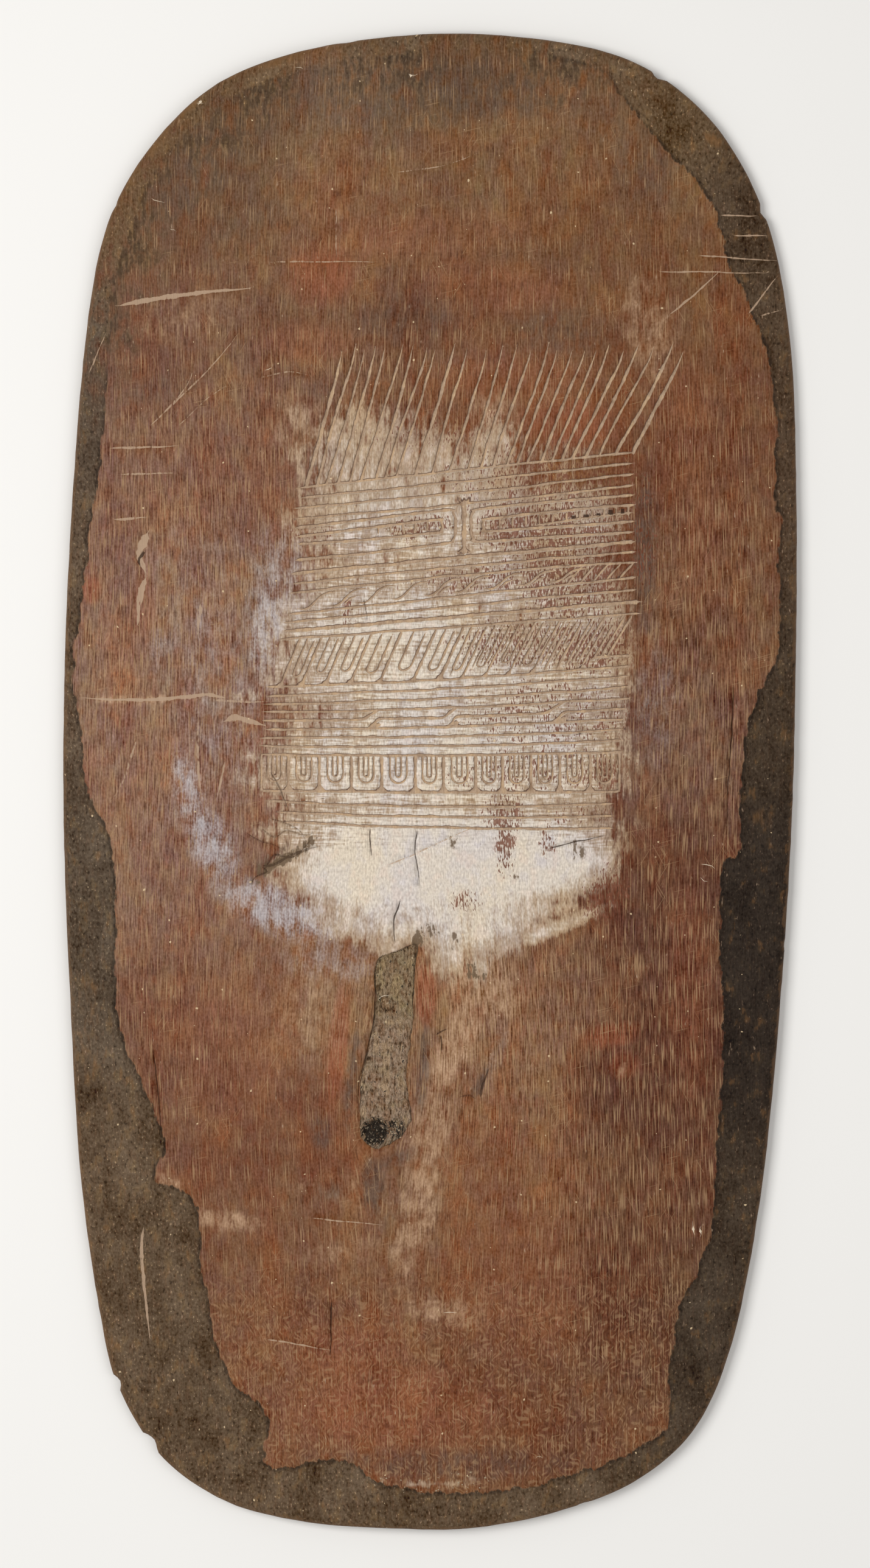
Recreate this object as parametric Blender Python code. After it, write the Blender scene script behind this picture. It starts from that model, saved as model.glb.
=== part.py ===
"""A carved wooden shield, one board lying on its back.

X runs across the board, Y along it towards its top, and Z up out of its carved front.
The front is crowned and its rim rounded. A worn border lies a little lower than the
middle, a knot scar is sunk below the centre, and a panel of shallow grooves is cut in
the upper half: rays, straight courses, facing loops, curls, leaning tongues and a row
of cups. The back is flat and lifts towards the rim. Lengths are in metres.
"""

import math

import bpy
import numpy as np
from mathutils import Vector
from mathutils.geometry import delaunay_2d_cdt

MM = 0.001

# The board
WIDTH = 0.5405
LENGTH = 1.100
THICKNESS = 0.022
SIDE_FALL = 0.009
END_FALL = 0.005
RIM_ROUND = 0.005
BACK_LIFT = 0.004
BACK_LIFT_WIDTH = 0.035

# How finely the faces follow it: rings inside the rim, stations along it, a loose grid
FRONT_RINGS = (0.0013, RIM_ROUND)
BACK_RINGS = (0.009, 0.021, BACK_LIFT_WIDTH)
RIM_SPACING = 0.022
GRID_SPACING = 0.045
GRID_CLEARANCE = 0.014
MERGE_MM = 0.02
INSIDE_ONLY = 1

# Where the rim turns, clockwise from the top
RIM = (
    (0.030, 0.550), (0.107, 0.540), (0.157, 0.524), (0.202, 0.4925), (0.2353, 0.4437),
    (0.2558, 0.386), (0.267, 0.3055), (0.270, 0.205), (0.2697, 0.105), (0.2665, -0.029),
    (0.259, -0.1625), (0.246, -0.296), (0.2246, -0.4076), (0.196, -0.4745),
    (0.151, -0.5146), (0.0936, -0.537), (0.030, -0.549), (-0.030, -0.549),
    (-0.091, -0.5435), (-0.144, -0.528), (-0.1934, -0.4967), (-0.2245, -0.450),
    (-0.2385, -0.4076), (-0.2567, -0.296), (-0.2647, -0.1625), (-0.2697, -0.029),
    (-0.2683, 0.105), (-0.2612, 0.2387), (-0.2505, 0.350), (-0.2349, 0.417),
    (-0.2032, 0.4704), (-0.159, 0.5106), (-0.103, 0.5328), (-0.040, 0.5445),
)
# Chips out of the rim: where, how wide and how deep
NICKS = (
    ((-0.2269, -0.4406), 0.012, 0.0030),
    ((-0.2028, -0.4833), 0.016, 0.0040),
    ((0.1680, 0.5190), 0.010, 0.0025),
    ((0.2443, 0.4190), 0.009, 0.0022),
)

# The raised middle: its edge, clockwise from the top right, where it stands STEP high,
# to the left, and back over the top, where the step has been rubbed away
STEP = 0.0009
STEP_WIDTH = 0.0016
STEP_FADE = (0.33, 0.42)
TOP_LEFT = (-0.50, 0.87)
MIDDLE = (
    (0.116, 0.526), (0.148, 0.483), (0.191, 0.443), (0.208, 0.418), (0.2175, 0.384),
    (0.238, 0.349), (0.250, 0.286), (0.2514, 0.205), (0.257, 0.196), (0.2535, 0.162),
    (0.257, 0.140), (0.251, 0.091), (0.238, 0.060), (0.232, 0.036), (0.228, -0.001),
    (0.2265, -0.050), (0.213, -0.071), (0.2144, -0.194), (0.2095, -0.288),
    (0.205, -0.336), (0.185, -0.384), (0.176, -0.434), (0.176, -0.469), (0.161, -0.485),
    (0.124, -0.502), (0.043, -0.522), (-0.032, -0.516), (-0.065, -0.4975),
    (-0.119, -0.503), (-0.1195, -0.467), (-0.148, -0.434), (-0.164, -0.380),
    (-0.174, -0.309), (-0.203, -0.292), (-0.194, -0.265), (-0.211, -0.225),
    (-0.229, -0.170), (-0.233, -0.058), (-0.2535, -0.001), (-0.2585, 0.052),
    (-0.2625, 0.083), (-0.2555, 0.154), (-0.2496, 0.205), (-0.2402, 0.286),
    (-0.2309, 0.370), (-0.196, 0.452), (-0.135, 0.505), (-0.040, 0.530), (0.050, 0.536),
)

# The knot scar: its rim, clockwise from the top right, and the pit at its foot
KNOT = (
    (-0.009, -0.124), (-0.014, -0.163), (-0.0125, -0.171), (-0.018, -0.209),
    (-0.0165, -0.255), (-0.037, -0.270), (-0.050, -0.263), (-0.0525, -0.250),
    (-0.050, -0.216), (-0.0446, -0.182), (-0.040, -0.159), (-0.040, -0.133),
)
KNOT_DEPTH = 0.0025
KNOT_BANK = 0.004
PIT = (-0.0345, -0.258)
PIT_RADIUS = 0.011
PIT_DEPTH = 0.004
PIT_RINGS = (0.4, 0.9)
PIT_SIDES = 8

# Strokes of the carving
STROKE_WIDTH = 0.0024
STROKE_DEPTH = 0.0011
TIP = 0.005
COURSE_SPANS = 6

# Straight courses run from a left end to a right end and sag a little between. Each
# fan names its first and last course, as (left, right, sag), and how many it has.
FANS = {
    "upper": (((-0.098, 0.215), (0.149, 0.2415), 0.0), ((-0.098, 0.193), (0.149, 0.2175), -0.002), 4),
    "middle": (((-0.102, 0.152), (0.150, 0.176), 0.0), ((-0.103, 0.1375), (0.151, 0.161), 0.002), 3),
    "lower": (((-0.105, 0.122), (0.151, 0.150), 0.0), ((-0.110, 0.104), (0.154, 0.123), 0.0), 4),
    "stepped": (((-0.120, 0.069), (0.147, 0.085), -0.002), ((-0.124, 0.020), (0.141, 0.022), -0.002), 9),
    "foot": (((-0.119, -0.0145), (0.134, -0.0163), -0.003), ((-0.107, -0.0297), (0.134, -0.034), -0.002), 3),
}
CELL_ROW_FOOT = ((-0.124, -0.0065), (0.139, -0.0074), -0.001)

# Rays above the upper fan: the first and last foot, and the first and last top
RAYS = 26
RAY_FEET = ((-0.0914, 0.2155), (0.148, 0.2414))
RAY_TOPS = ((-0.064, 0.314), (0.184, 0.316))

# Facing loops: the bar between them, then for each loop where it turns, where its arms
# end, the heights of its upper arm at the turn and at the end, and those of its lower arm
BAR_X = 0.0255
BAR_HEIGHTS = (0.1665, 0.2070)
LOOP_ROUND = 0.006
LOOPS = (
    (0.0320, 0.1490, 0.1995, 0.2100, 0.1765, 0.1830),
    (0.0400, 0.1500, 0.1925, 0.2030, 0.1840, 0.1910),
    (0.0185, -0.0990, 0.1985, 0.1860, 0.1745, 0.1620),
    (0.0105, -0.0970, 0.1915, 0.1795, 0.1820, 0.1740),
)

# Curls: how many, the first and last, how far each reaches, and their gap to the courses
CURLS = 8
CURL_SPAN = (-0.078, 0.105)
CURL_REACH = 0.011
CURL_GAP = 0.0035

# Leaning tongues, each with a narrow cup between its sides, then closer hatching
TONGUES = 7
TONGUE_START = -0.1047
TONGUE_PITCH = 0.0223
TONGUE_LEAN = 0.43
TONGUE_RISE = 0.035
TONGUE_CUP = (0.0062, 0.0150)
TONGUE_CUP_LIFT = 0.0080
HATCHES = 14
HATCH_END = 0.131

# Upright cells, each with two cups, one inside the other
CELLS = 12
CELL_START = -0.1240
CELL_PITCH = 0.02186
CELL_INSETS = (0.0058, 0.0097)
CUP_TURNS = (1.0, 1.25, 1.5, 1.75, 2.0)

COLOUR = (0.158, 0.070, 0.036, 1.0)
ROUGHNESS = 0.62


def closed_spline(stations, steps):
    """Points on a smooth closed curve through the stations."""
    stations = np.array(stations)
    count = len(stations)
    t = np.arange(steps)[:, None] / steps
    spans = []
    for i in range(count):
        a, b, c, d = (stations[(i + k) % count] for k in (-1, 0, 1, 2))
        spans.append(
            b
            + 0.5 * t * (c - a)
            + t**2 * (a - 2.5 * b + 2 * c - 0.5 * d)
            + t**3 * (1.5 * b - 0.5 * a - 1.5 * c + 0.5 * d)
        )
    return np.concatenate(spans)


def along(path):
    """How far along an open path each of its points lies."""
    steps = np.hypot(*np.diff(path, axis=0).T)
    return np.concatenate([[0.0], np.cumsum(steps)])


def path_distance(points, path):
    """Distance from each point to an open path, and how far along it the nearest place lies."""
    starts, ends = path[:-1], path[1:]
    spans = ends - starts
    squares = np.maximum((spans**2).sum(axis=1), 1e-18)
    offsets = points[:, None, :] - starts[None]
    t = np.clip((offsets * spans).sum(axis=2) / squares, 0.0, 1.0)
    gaps = offsets - t[..., None] * spans
    distances = np.hypot(gaps[..., 0], gaps[..., 1])
    nearest = distances.argmin(axis=1)
    rows = np.arange(len(points))
    reach = along(path)
    here = reach[nearest] + t[rows, nearest] * np.sqrt(squares[nearest])
    return distances[rows, nearest], here


def inside(points, loop):
    """Which points lie inside a closed loop."""
    result = np.zeros(len(points), bool)
    x, y = points.T
    for a, b in zip(loop, np.roll(loop, -1, axis=0)):
        crosses = (a[1] > y) != (b[1] > y)
        if crosses.any():
            where = a[0] + (y - a[1]) * (b[0] - a[0]) / (b[1] - a[1] + 1e-15)
            result ^= crosses & (x < where)
    return result


def loop_depth(points, loop):
    """How far each point lies inside a closed loop; negative outside."""
    closed = np.concatenate([loop, loop[:1]])
    distance, _ = path_distance(points, closed)
    return np.where(inside(points, loop), distance, -distance)


def smooth(value, low, high):
    """A value's place between low and high, from 0 to 1, eased at both ends."""
    t = np.clip((value - low) / (high - low), 0.0, 1.0)
    return t * t * (3.0 - 2.0 * t)


def normals(path, closed):
    """Unit normals on the left of a path at each of its points."""
    if closed:
        run = np.roll(path, -1, axis=0) - np.roll(path, 1, axis=0)
    else:
        run = np.gradient(path, axis=0)
    run /= np.hypot(*run.T)[:, None]
    return np.stack([-run[:, 1], run[:, 0]], axis=1)


def rim_loop():
    """The rim with its chips, scaled to the board's width and length."""
    fine = closed_spline(RIM, 40)
    low, high = fine.min(axis=0), fine.max(axis=0)
    fine = (fine - (low + high) / 2) / (high - low) * (WIDTH, LENGTH)
    closed = np.concatenate([fine, fine[:1]])
    reach = along(closed)
    stations = list(np.arange(0.0, reach[-1] - RIM_SPACING / 2, RIM_SPACING))
    for place, width, _ in NICKS:
        middle = path_distance(np.array([place]), closed)[1][0]
        stations = [s for s in stations if abs(s - middle) > width]
        stations += [middle - width / 2, middle, middle + width / 2]
    stations = np.sort(stations)
    loop = np.stack([np.interp(stations, reach, closed[:, k]) for k in (0, 1)], axis=1)
    inward = -normals(loop, closed=True)
    for place, width, depth in NICKS:
        middle = path_distance(np.array([place]), closed)[1][0]
        loop += inward * (depth * np.clip(1 - np.abs(stations - middle) / (width / 2), 0, 1))[:, None]
    return loop, inward


def course(left, right, sag, spans=COURSE_SPANS):
    """A course from its left end to its right end, lifted or lowered between them."""
    t = np.linspace(0.0, 1.0, spans + 1)[:, None]
    return np.array(left) * (1 - t) + np.array(right) * t + np.array([0.0, sag]) * 4 * t * (1 - t)


def fan(first, last, count):
    """Courses spread evenly from the first to the last."""
    for t in np.linspace(0.0, 1.0, count):
        ends = np.array(first[:2]) * (1 - t) + np.array(last[:2]) * t
        yield course(ends[0], ends[1], first[2] * (1 - t) + last[2] * t)


def height_on(path, x):
    """A course's height at a place across the board."""
    return float(np.interp(x, path[:, 0], path[:, 1]))


def rays():
    """Strokes fanned upwards from the top course."""
    for i in range(RAYS):
        t = i / (RAYS - 1)
        foot = np.array(RAY_FEET[0]) * (1 - t) + np.array(RAY_FEET[1]) * t
        top = np.array(RAY_TOPS[0]) * (1 - t) + np.array(RAY_TOPS[1]) * t
        middle = (foot + top) / 2 + (-0.0015, 0.0)
        yield np.array([foot, middle, top])


def facing_loops():
    """A bar with rounded loops opening away from it on both sides."""
    yield np.array([(BAR_X, BAR_HEIGHTS[0]), (BAR_X, sum(BAR_HEIGHTS) / 2), (BAR_X, BAR_HEIGHTS[1])])
    for turn, end, upper, upper_end, lower, lower_end in LOOPS:
        side = math.copysign(LOOP_ROUND, end - turn)
        shoulder = turn + side
        yield np.array([
            (end, upper_end), ((end + shoulder) / 2, (upper_end + upper) / 2), (shoulder, upper),
            (turn, upper - LOOP_ROUND / 2), (turn, lower + LOOP_ROUND / 2),
            (shoulder, lower), ((end + shoulder) / 2, (lower + lower_end) / 2), (end, lower_end),
        ])


def curls(above, below):
    """Leaning hooks between two courses."""
    half = CURL_REACH / 2
    for x in np.linspace(*CURL_SPAN, CURLS):
        foot = height_on(below, x) + CURL_GAP
        head = height_on(above, x + CURL_REACH) - CURL_GAP
        yield np.array([
            (x - half, foot), (x, foot), (x + half, (foot + head) / 2),
            (x + CURL_REACH, head), (x + CURL_REACH + half, head),
        ])


def upright(x, below, above, lean=0.0):
    """A stroke from one course up to another, leaning to the right by lean."""
    foot = height_on(below, x)
    head = height_on(above, x + lean * TONGUE_RISE)
    path = np.array([(x, foot), (x, (foot + head) / 2), (x, head)])
    return leant(path, foot, lean)


def leant(path, foot, lean):
    """A path leant over to the right as it rises from its foot."""
    return path + np.stack([(path[:, 1] - foot) * lean, np.zeros(len(path))], axis=1)


def cup(left, right, head, foot):
    """A narrow cup with a round foot and both ends at its head."""
    middle = (left + right) / 2
    radius = (right - left) / 2
    turns = [turn * math.pi for turn in CUP_TURNS]
    bowl = [(middle + radius * math.cos(a), foot + radius * (1 + math.sin(a))) for a in turns]
    return np.array([(left, head), *bowl, (right, head)])


def tongues(above, below):
    """Leaning tongues with a narrow cup in each, then closer hatching to the right."""
    start = TONGUE_START + TONGUES * TONGUE_PITCH
    pitch = (HATCH_END - start) / HATCHES
    for i in range(TONGUES):
        x = TONGUE_START + i * TONGUE_PITCH
        foot = height_on(below, x)
        head = height_on(above, x + TONGUE_LEAN * TONGUE_RISE)
        yield upright(x, below, above, TONGUE_LEAN)
        inner = cup(x + TONGUE_CUP[0], x + TONGUE_CUP[1], head, foot + TONGUE_CUP_LIFT)
        yield leant(inner, foot, TONGUE_LEAN)
    for i in range(HATCHES + 1):
        yield upright(start + i * pitch, below, above, TONGUE_LEAN)


def cell_row(above, below):
    """Upright cells with two cups, one inside the other, in each."""
    for i in range(CELLS + 1):
        x = CELL_START + i * CELL_PITCH
        yield upright(x, below, above)
        if i < CELLS:
            head, foot = height_on(above, x), height_on(below, x)
            for inset in CELL_INSETS:
                yield cup(x + inset, x + CELL_PITCH - inset, head, foot + inset)


def carving():
    """Every stroke of the panel, as a path."""
    fans = {name: list(fan(*row)) for name, row in FANS.items()}
    foot_of_cells = course(*CELL_ROW_FOOT)
    strokes = [path for rows in fans.values() for path in rows]
    strokes.append(foot_of_cells)
    strokes += rays()
    strokes += facing_loops()
    strokes += curls(fans["middle"][-1], fans["lower"][0])
    strokes += tongues(fans["lower"][-1], fans["stepped"][0])
    strokes += cell_row(fans["stepped"][-1], foot_of_cells)
    return strokes


def with_tips(path):
    """A stroke with a station a tip's length in from each end."""
    reach = along(path)
    tip = min(TIP, reach[-1] / 4)
    stations = np.unique(np.concatenate([[0.0, tip], reach[1:-1], [reach[-1] - tip, reach[-1]]]))
    return np.stack([np.interp(stations, reach, path[:, k]) for k in (0, 1)], axis=1)


def stroke_depth(points, path):
    """How deep a stroke is cut at each point: a V that rises at both ends."""
    depth = np.zeros(len(points))
    low = path.min(axis=0) - STROKE_WIDTH
    high = path.max(axis=0) + STROKE_WIDTH
    near = ((points > low) & (points < high)).all(axis=1)
    if near.any():
        distance, here = path_distance(points[near], path)
        total = along(path)[-1]
        tip = min(TIP, total / 4)
        rise = np.clip(np.minimum(here, total - here) / tip, 0.0, 1.0)
        depth[near] = STROKE_DEPTH * rise * np.clip(1 - distance / (STROKE_WIDTH / 2), 0.0, 1.0)
    return depth


def front_height(points, rim, middle, knot, strokes):
    """The height of the front at each point."""
    x, y = points.T
    height = THICKNESS - SIDE_FALL * (2 * x / WIDTH) ** 2 - END_FALL * (2 * y / LENGTH) ** 2
    inset = np.clip(loop_depth(points, rim), 0.0, RIM_ROUND)
    height -= RIM_ROUND - np.sqrt(RIM_ROUND**2 - (RIM_ROUND - inset) ** 2)
    towards_top_left = points @ np.array(TOP_LEFT)
    below = smooth(-loop_depth(points, middle), -STEP_WIDTH / 2, STEP_WIDTH / 2)
    height -= STEP * below * (1 - smooth(towards_top_left, *STEP_FADE))
    height -= KNOT_DEPTH * smooth(loop_depth(points, knot), 0.0, KNOT_BANK)
    from_pit = np.hypot(x - PIT[0], y - PIT[1])
    height -= PIT_DEPTH * (1 - smooth(from_pit, PIT_RADIUS * PIT_RINGS[0], PIT_RADIUS))
    cut = np.zeros(len(points))
    for path in strokes:
        cut = np.maximum(cut, stroke_depth(points, path))
    return height - cut


def back_height(points, rim):
    """The height of the back at each point: flat, lifting towards the rim."""
    inset = np.clip(loop_depth(points, rim), 0.0, BACK_LIFT_WIDTH)
    return BACK_LIFT * (1 - inset / BACK_LIFT_WIDTH) ** 2


class Sheet:
    """Points and lines to be triangulated inside the rim."""

    def __init__(self, rim):
        self.points = [tuple(p) for p in rim]
        self.lines = []
        self.rim_count = len(rim)

    def add_line(self, path, closed=False):
        """A line that the triangles keep."""
        first = len(self.points)
        self.points += [tuple(p) for p in path]
        self.lines += [(first + i, first + i + 1) for i in range(len(path) - 1)]
        if closed:
            self.lines.append((first + len(path) - 1, first))

    def add_grid(self, spacing, clear, rim):
        """Loose points on a staggered grid, clear of everything already laid."""
        laid = np.array(self.points)
        rows = np.arange(-LENGTH / 2, LENGTH / 2, spacing * 0.87)
        for row, y in enumerate(rows):
            for x in np.arange(-WIDTH / 2 + spacing / 2 * (row % 2), WIDTH / 2, spacing):
                if np.hypot(*(laid - (x, y)).T).min() > clear:
                    if loop_depth(np.array([(x, y)]), rim)[0] > clear:
                        self.points.append((x, y))

    def triangles(self):
        """The triangulation: points, triangles, and where each rim point went."""
        flat = [Vector(p) / MM for p in self.points]
        face = list(range(self.rim_count))
        laid = delaunay_2d_cdt(flat, self.lines, [face], INSIDE_ONLY, MERGE_MM)
        points, _, faces, sources, _, _ = laid
        place = {}
        for new, old in enumerate(sources):
            for index in old:
                place[index] = new
        rim_places = [place[i] for i in range(self.rim_count)]
        return np.array([tuple(p) for p in points]) * MM, [tuple(f) for f in faces], rim_places


def counter_clockwise(faces, points):
    """The same triangles, each turned to run counter-clockwise seen from above."""
    turned = []
    for a, b, c in faces:
        ab, ac = points[b] - points[a], points[c] - points[a]
        turned.append((a, b, c) if ab[0] * ac[1] > ab[1] * ac[0] else (a, c, b))
    return turned


def board_mesh():
    """The whole board as one closed mesh."""
    rim, inward = rim_loop()
    middle = closed_spline(MIDDLE, 2)
    knot = closed_spline(KNOT, 2)
    strokes = [with_tips(path) for path in carving()]

    front = Sheet(rim)
    for inset in FRONT_RINGS:
        front.add_line(rim + inward * inset, closed=True)
    edge = normals(middle, closed=True)
    for side in (-STEP_WIDTH / 2, STEP_WIDTH / 2):
        front.add_line(middle + edge * side, closed=True)
    bank = -normals(knot, closed=True)
    for inset in (0.0, KNOT_BANK):
        front.add_line(knot + bank * inset, closed=True)
    ring = np.arange(PIT_SIDES) * math.tau / PIT_SIDES
    circle = np.stack([np.cos(ring), np.sin(ring)], axis=1)
    for share in PIT_RINGS:
        front.add_line(np.array(PIT) + circle * PIT_RADIUS * share, closed=True)
    for path in strokes:
        side = normals(path, closed=False)[1:-1] * STROKE_WIDTH / 2
        front.add_line(path)
        for sign in (1, -1):
            front.add_line(np.concatenate([path[:1], path[1:-1] + sign * side, path[-1:]]))
    front.add_grid(GRID_SPACING, GRID_CLEARANCE, rim)
    top, top_faces, top_rim = front.triangles()

    back = Sheet(rim)
    for inset in BACK_RINGS:
        back.add_line(rim + inward * inset, closed=True)
    bottom, bottom_faces, bottom_rim = back.triangles()

    top_z = front_height(top, rim, middle, knot, strokes)
    bottom_z = back_height(bottom, rim)
    points = [(*p, z) for p, z in zip(top, top_z)] + [(*p, z) for p, z in zip(bottom, bottom_z)]
    start = len(top)
    faces = counter_clockwise(top_faces, top)
    faces += [(a + start, c + start, b + start) for a, b, c in counter_clockwise(bottom_faces, bottom)]
    for i in range(len(rim)):
        j = (i + 1) % len(rim)
        a, b = top_rim[i], top_rim[j]
        c, d = bottom_rim[j] + start, bottom_rim[i] + start
        faces += [(a, b, c), (a, c, d)]
    return points, faces


def wood():
    """Red-brown hardwood."""
    material = bpy.data.materials.new("red_brown_hardwood")
    material.use_nodes = True
    shader = material.node_tree.nodes["Principled BSDF"]
    shader.inputs["Base Color"].default_value = COLOUR
    shader.inputs["Roughness"].default_value = ROUGHNESS
    shader.inputs["Metallic"].default_value = 0.0
    return material


def main():
    """Clears the scene and models the board."""
    for item in list(bpy.data.objects):
        bpy.data.objects.remove(item)
    points, faces = board_mesh()
    mesh = bpy.data.meshes.new("shield_board")
    mesh.from_pydata([tuple(float(v) for v in p) for p in points], [], faces)
    mesh.update()
    mesh.materials.append(wood())
    board = bpy.data.objects.new("shield_board", mesh)
    bpy.context.scene.collection.objects.link(board)


main()
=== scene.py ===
"""The looks of a carved wooden shield, built round its packed board.

The board lies on its back. X runs across it, Y along it towards its top, and Z up out of
its carved front. Places and sizes in the plan are in millimetres; meshes are in metres.
"""

import logging
import math
from collections.abc import Callable, Iterator, Sequence
from dataclasses import dataclass, field
from enum import Enum

import bpy
import numpy as np
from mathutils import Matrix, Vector, kdtree
from mathutils.geometry import delaunay_2d_cdt


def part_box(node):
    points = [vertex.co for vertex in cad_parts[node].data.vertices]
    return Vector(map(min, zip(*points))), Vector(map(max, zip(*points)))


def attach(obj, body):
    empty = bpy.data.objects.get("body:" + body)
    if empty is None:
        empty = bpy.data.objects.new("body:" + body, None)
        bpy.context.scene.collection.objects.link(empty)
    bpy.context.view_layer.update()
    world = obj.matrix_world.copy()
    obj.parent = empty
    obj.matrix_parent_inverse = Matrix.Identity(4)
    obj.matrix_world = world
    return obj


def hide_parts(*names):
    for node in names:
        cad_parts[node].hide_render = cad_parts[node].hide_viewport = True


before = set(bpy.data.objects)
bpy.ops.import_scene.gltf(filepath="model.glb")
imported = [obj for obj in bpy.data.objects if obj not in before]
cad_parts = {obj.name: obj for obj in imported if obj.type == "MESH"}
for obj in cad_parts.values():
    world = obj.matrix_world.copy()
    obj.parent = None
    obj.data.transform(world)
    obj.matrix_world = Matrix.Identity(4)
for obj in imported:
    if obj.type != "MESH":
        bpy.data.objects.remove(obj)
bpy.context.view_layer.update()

log = logging.getLogger("shield")

NODE = "shield_board"
BODY = "root"
MM = 0.001
SEED = 20260

Path = np.ndarray
Place = tuple[float, float]


# Paths in the plan


def smooth(value: np.ndarray, low: float | np.ndarray, high: float | np.ndarray) -> np.ndarray:
    """A value's place between low and high, from 0 to 1, eased at both ends."""
    t = np.clip((value - low) / (high - low), 0.0, 1.0)
    return t * t * (3.0 - 2.0 * t)


def along(path: Path) -> np.ndarray:
    """How far along an open path each of its points lies."""
    return np.concatenate([[0.0], np.cumsum(np.hypot(*np.diff(path, axis=0).T))])


def at(path: Path, reach: np.ndarray) -> Path:
    """The points that lie so far along an open path."""
    own = along(path)
    return np.stack([np.interp(reach, own, path[:, k]) for k in (0, 1)], axis=1)


def resample(path: Path, spacing: float) -> Path:
    """The same open path with evenly spaced stations."""
    total = along(path)[-1]
    return at(path, np.linspace(0.0, total, max(2, round(total / spacing) + 1)))


def spline(stations: Sequence[Place], spacing: float, closed: bool = False) -> Path:
    """A smooth path through the stations.

    Args:
        stations: the points that it passes through.
        spacing: how far apart its own points are.
        closed: whether it comes round to its start.

    Returns:
        The path, without the start again at the end of a closed one.
    """
    knots = np.array(stations, float)
    if closed:
        knots = np.concatenate([knots[-1:], knots, knots[:2]])
    else:
        knots = np.concatenate([[2 * knots[0] - knots[1]], knots, [2 * knots[-1] - knots[-2]]])
    t = np.linspace(0.0, 1.0, 24, endpoint=False)[:, None]
    spans = [
        b + 0.5 * t * (c - a) + t**2 * (a - 2.5 * b + 2 * c - 0.5 * d)
        + t**3 * (1.5 * b - 0.5 * a - 1.5 * c + 0.5 * d)
        for a, b, c, d in zip(knots, knots[1:], knots[2:], knots[3:])
    ]
    path = resample(np.concatenate([*spans, knots[-2:-1]]), spacing)
    return path[:-1] if closed else path


def normals(path: Path, closed: bool = False) -> np.ndarray:
    """Unit normals on the left of a path at each of its points.

    Args:
        path: the stations.
        closed: whether the last one joins the first.

    Returns:
        One vector for each station.
    """
    if closed:
        run = np.roll(path, -1, axis=0) - np.roll(path, 1, axis=0)
    else:
        run = np.gradient(path, axis=0)
    run = run / np.maximum(np.hypot(*run.T), 1e-9)[:, None]
    return np.stack([-run[:, 1], run[:, 0]], axis=1)


def path_distance(points: np.ndarray, path: Path) -> tuple[np.ndarray, np.ndarray]:
    """Distance from each point to an open path, and how far along it the nearest place lies.

    Args:
        points: where to measure.
        path: the stations.

    Returns:
        Both, for each point.
    """
    starts, spans = path[:-1], np.diff(path, axis=0)
    squares = np.maximum((spans**2).sum(axis=1), 1e-12)
    offsets = points[:, None, :] - starts[None]
    t = np.clip((offsets * spans).sum(axis=2) / squares, 0.0, 1.0)
    gaps = offsets - t[..., None] * spans
    distances = np.hypot(gaps[..., 0], gaps[..., 1])
    nearest = distances.argmin(axis=1)
    rows = np.arange(len(points))
    here = along(path)[nearest] + t[rows, nearest] * np.sqrt(squares[nearest])
    return distances[rows, nearest], here


def inside(points: np.ndarray, loop: Path) -> np.ndarray:
    """Which points lie inside a closed loop.

    Args:
        points: where to look.
        loop: its stations.

    Returns:
        True for each that does.
    """
    result = np.zeros(len(points), bool)
    x, y = points.T
    for a, b in zip(loop, np.roll(loop, -1, axis=0)):
        crosses = (a[1] > y) != (b[1] > y)
        if crosses.any():
            where = a[0] + (y - a[1]) * (b[0] - a[0]) / (b[1] - a[1] + 1e-12)
            result ^= crosses & (x < where)
    return result


def depth_in(points: np.ndarray, loop: Path) -> np.ndarray:
    """How far each point lies inside a closed loop of close stations; negative outside.

    Args:
        points: where to measure.
        loop: its stations.

    Returns:
        One depth for each.
    """
    tree = kdtree.KDTree(len(loop))
    for i, (x, y) in enumerate(loop):
        tree.insert((x, y, 0.0), i)
    tree.balance()
    nearest = np.array([tree.find((x, y, 0.0))[1] for x, y in points])
    best = np.full(len(points), np.inf)
    for first in (nearest - 1, nearest):
        start, end = loop[first % len(loop)], loop[(first + 1) % len(loop)]
        span = end - start
        t = np.clip(((points - start) * span).sum(axis=1) / (span**2).sum(axis=1), 0.0, 1.0)
        best = np.minimum(best, np.hypot(*(points - start - t[:, None] * span).T))
    return np.where(inside(points, loop), best, -best)


def waver(reach: np.ndarray, pitch: float, rng: np.random.Generator) -> np.ndarray:
    """A gentle random line from about -1 to 1, whose bends are about a pitch long.

    Args:
        reach: places along it.
        pitch: how far apart its bends are.
        rng: the random draws.

    Returns:
        Its value at each place.
    """
    knots = rng.uniform(-1.0, 1.0, int(reach.max() / pitch) + 4)
    cell = reach / pitch
    first = cell.astype(int)
    t = smooth(cell - first, 0.0, 1.0)
    return knots[first] * (1 - t) + knots[first + 1] * t


def torn_loop(
    stations: Sequence[Place], spacing: float, tears: Sequence[Place], seed: int
) -> Path:
    """A smooth closed path with small bays and spurs torn along it.

    Args:
        stations: the points that it passes through.
        spacing: how far apart its own points are.
        tears: each run of tears' depth and length.
        seed: which random lines it is torn by.

    Returns:
        The path's stations.
    """
    path = spline(stations, spacing, closed=True)
    reach = along(np.concatenate([path, path[:1]]))[:-1]
    rng = np.random.default_rng(SEED + seed)
    torn = sum(depth * waver(reach, length, rng) for depth, length in tears)
    return path + normals(path, closed=True) * torn[:, None]


# The board's outline, its raised middle and its knot


@dataclass(frozen=True)
class Nick:
    """A chip out of the rim."""

    place: Place
    width: float
    depth: float


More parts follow.
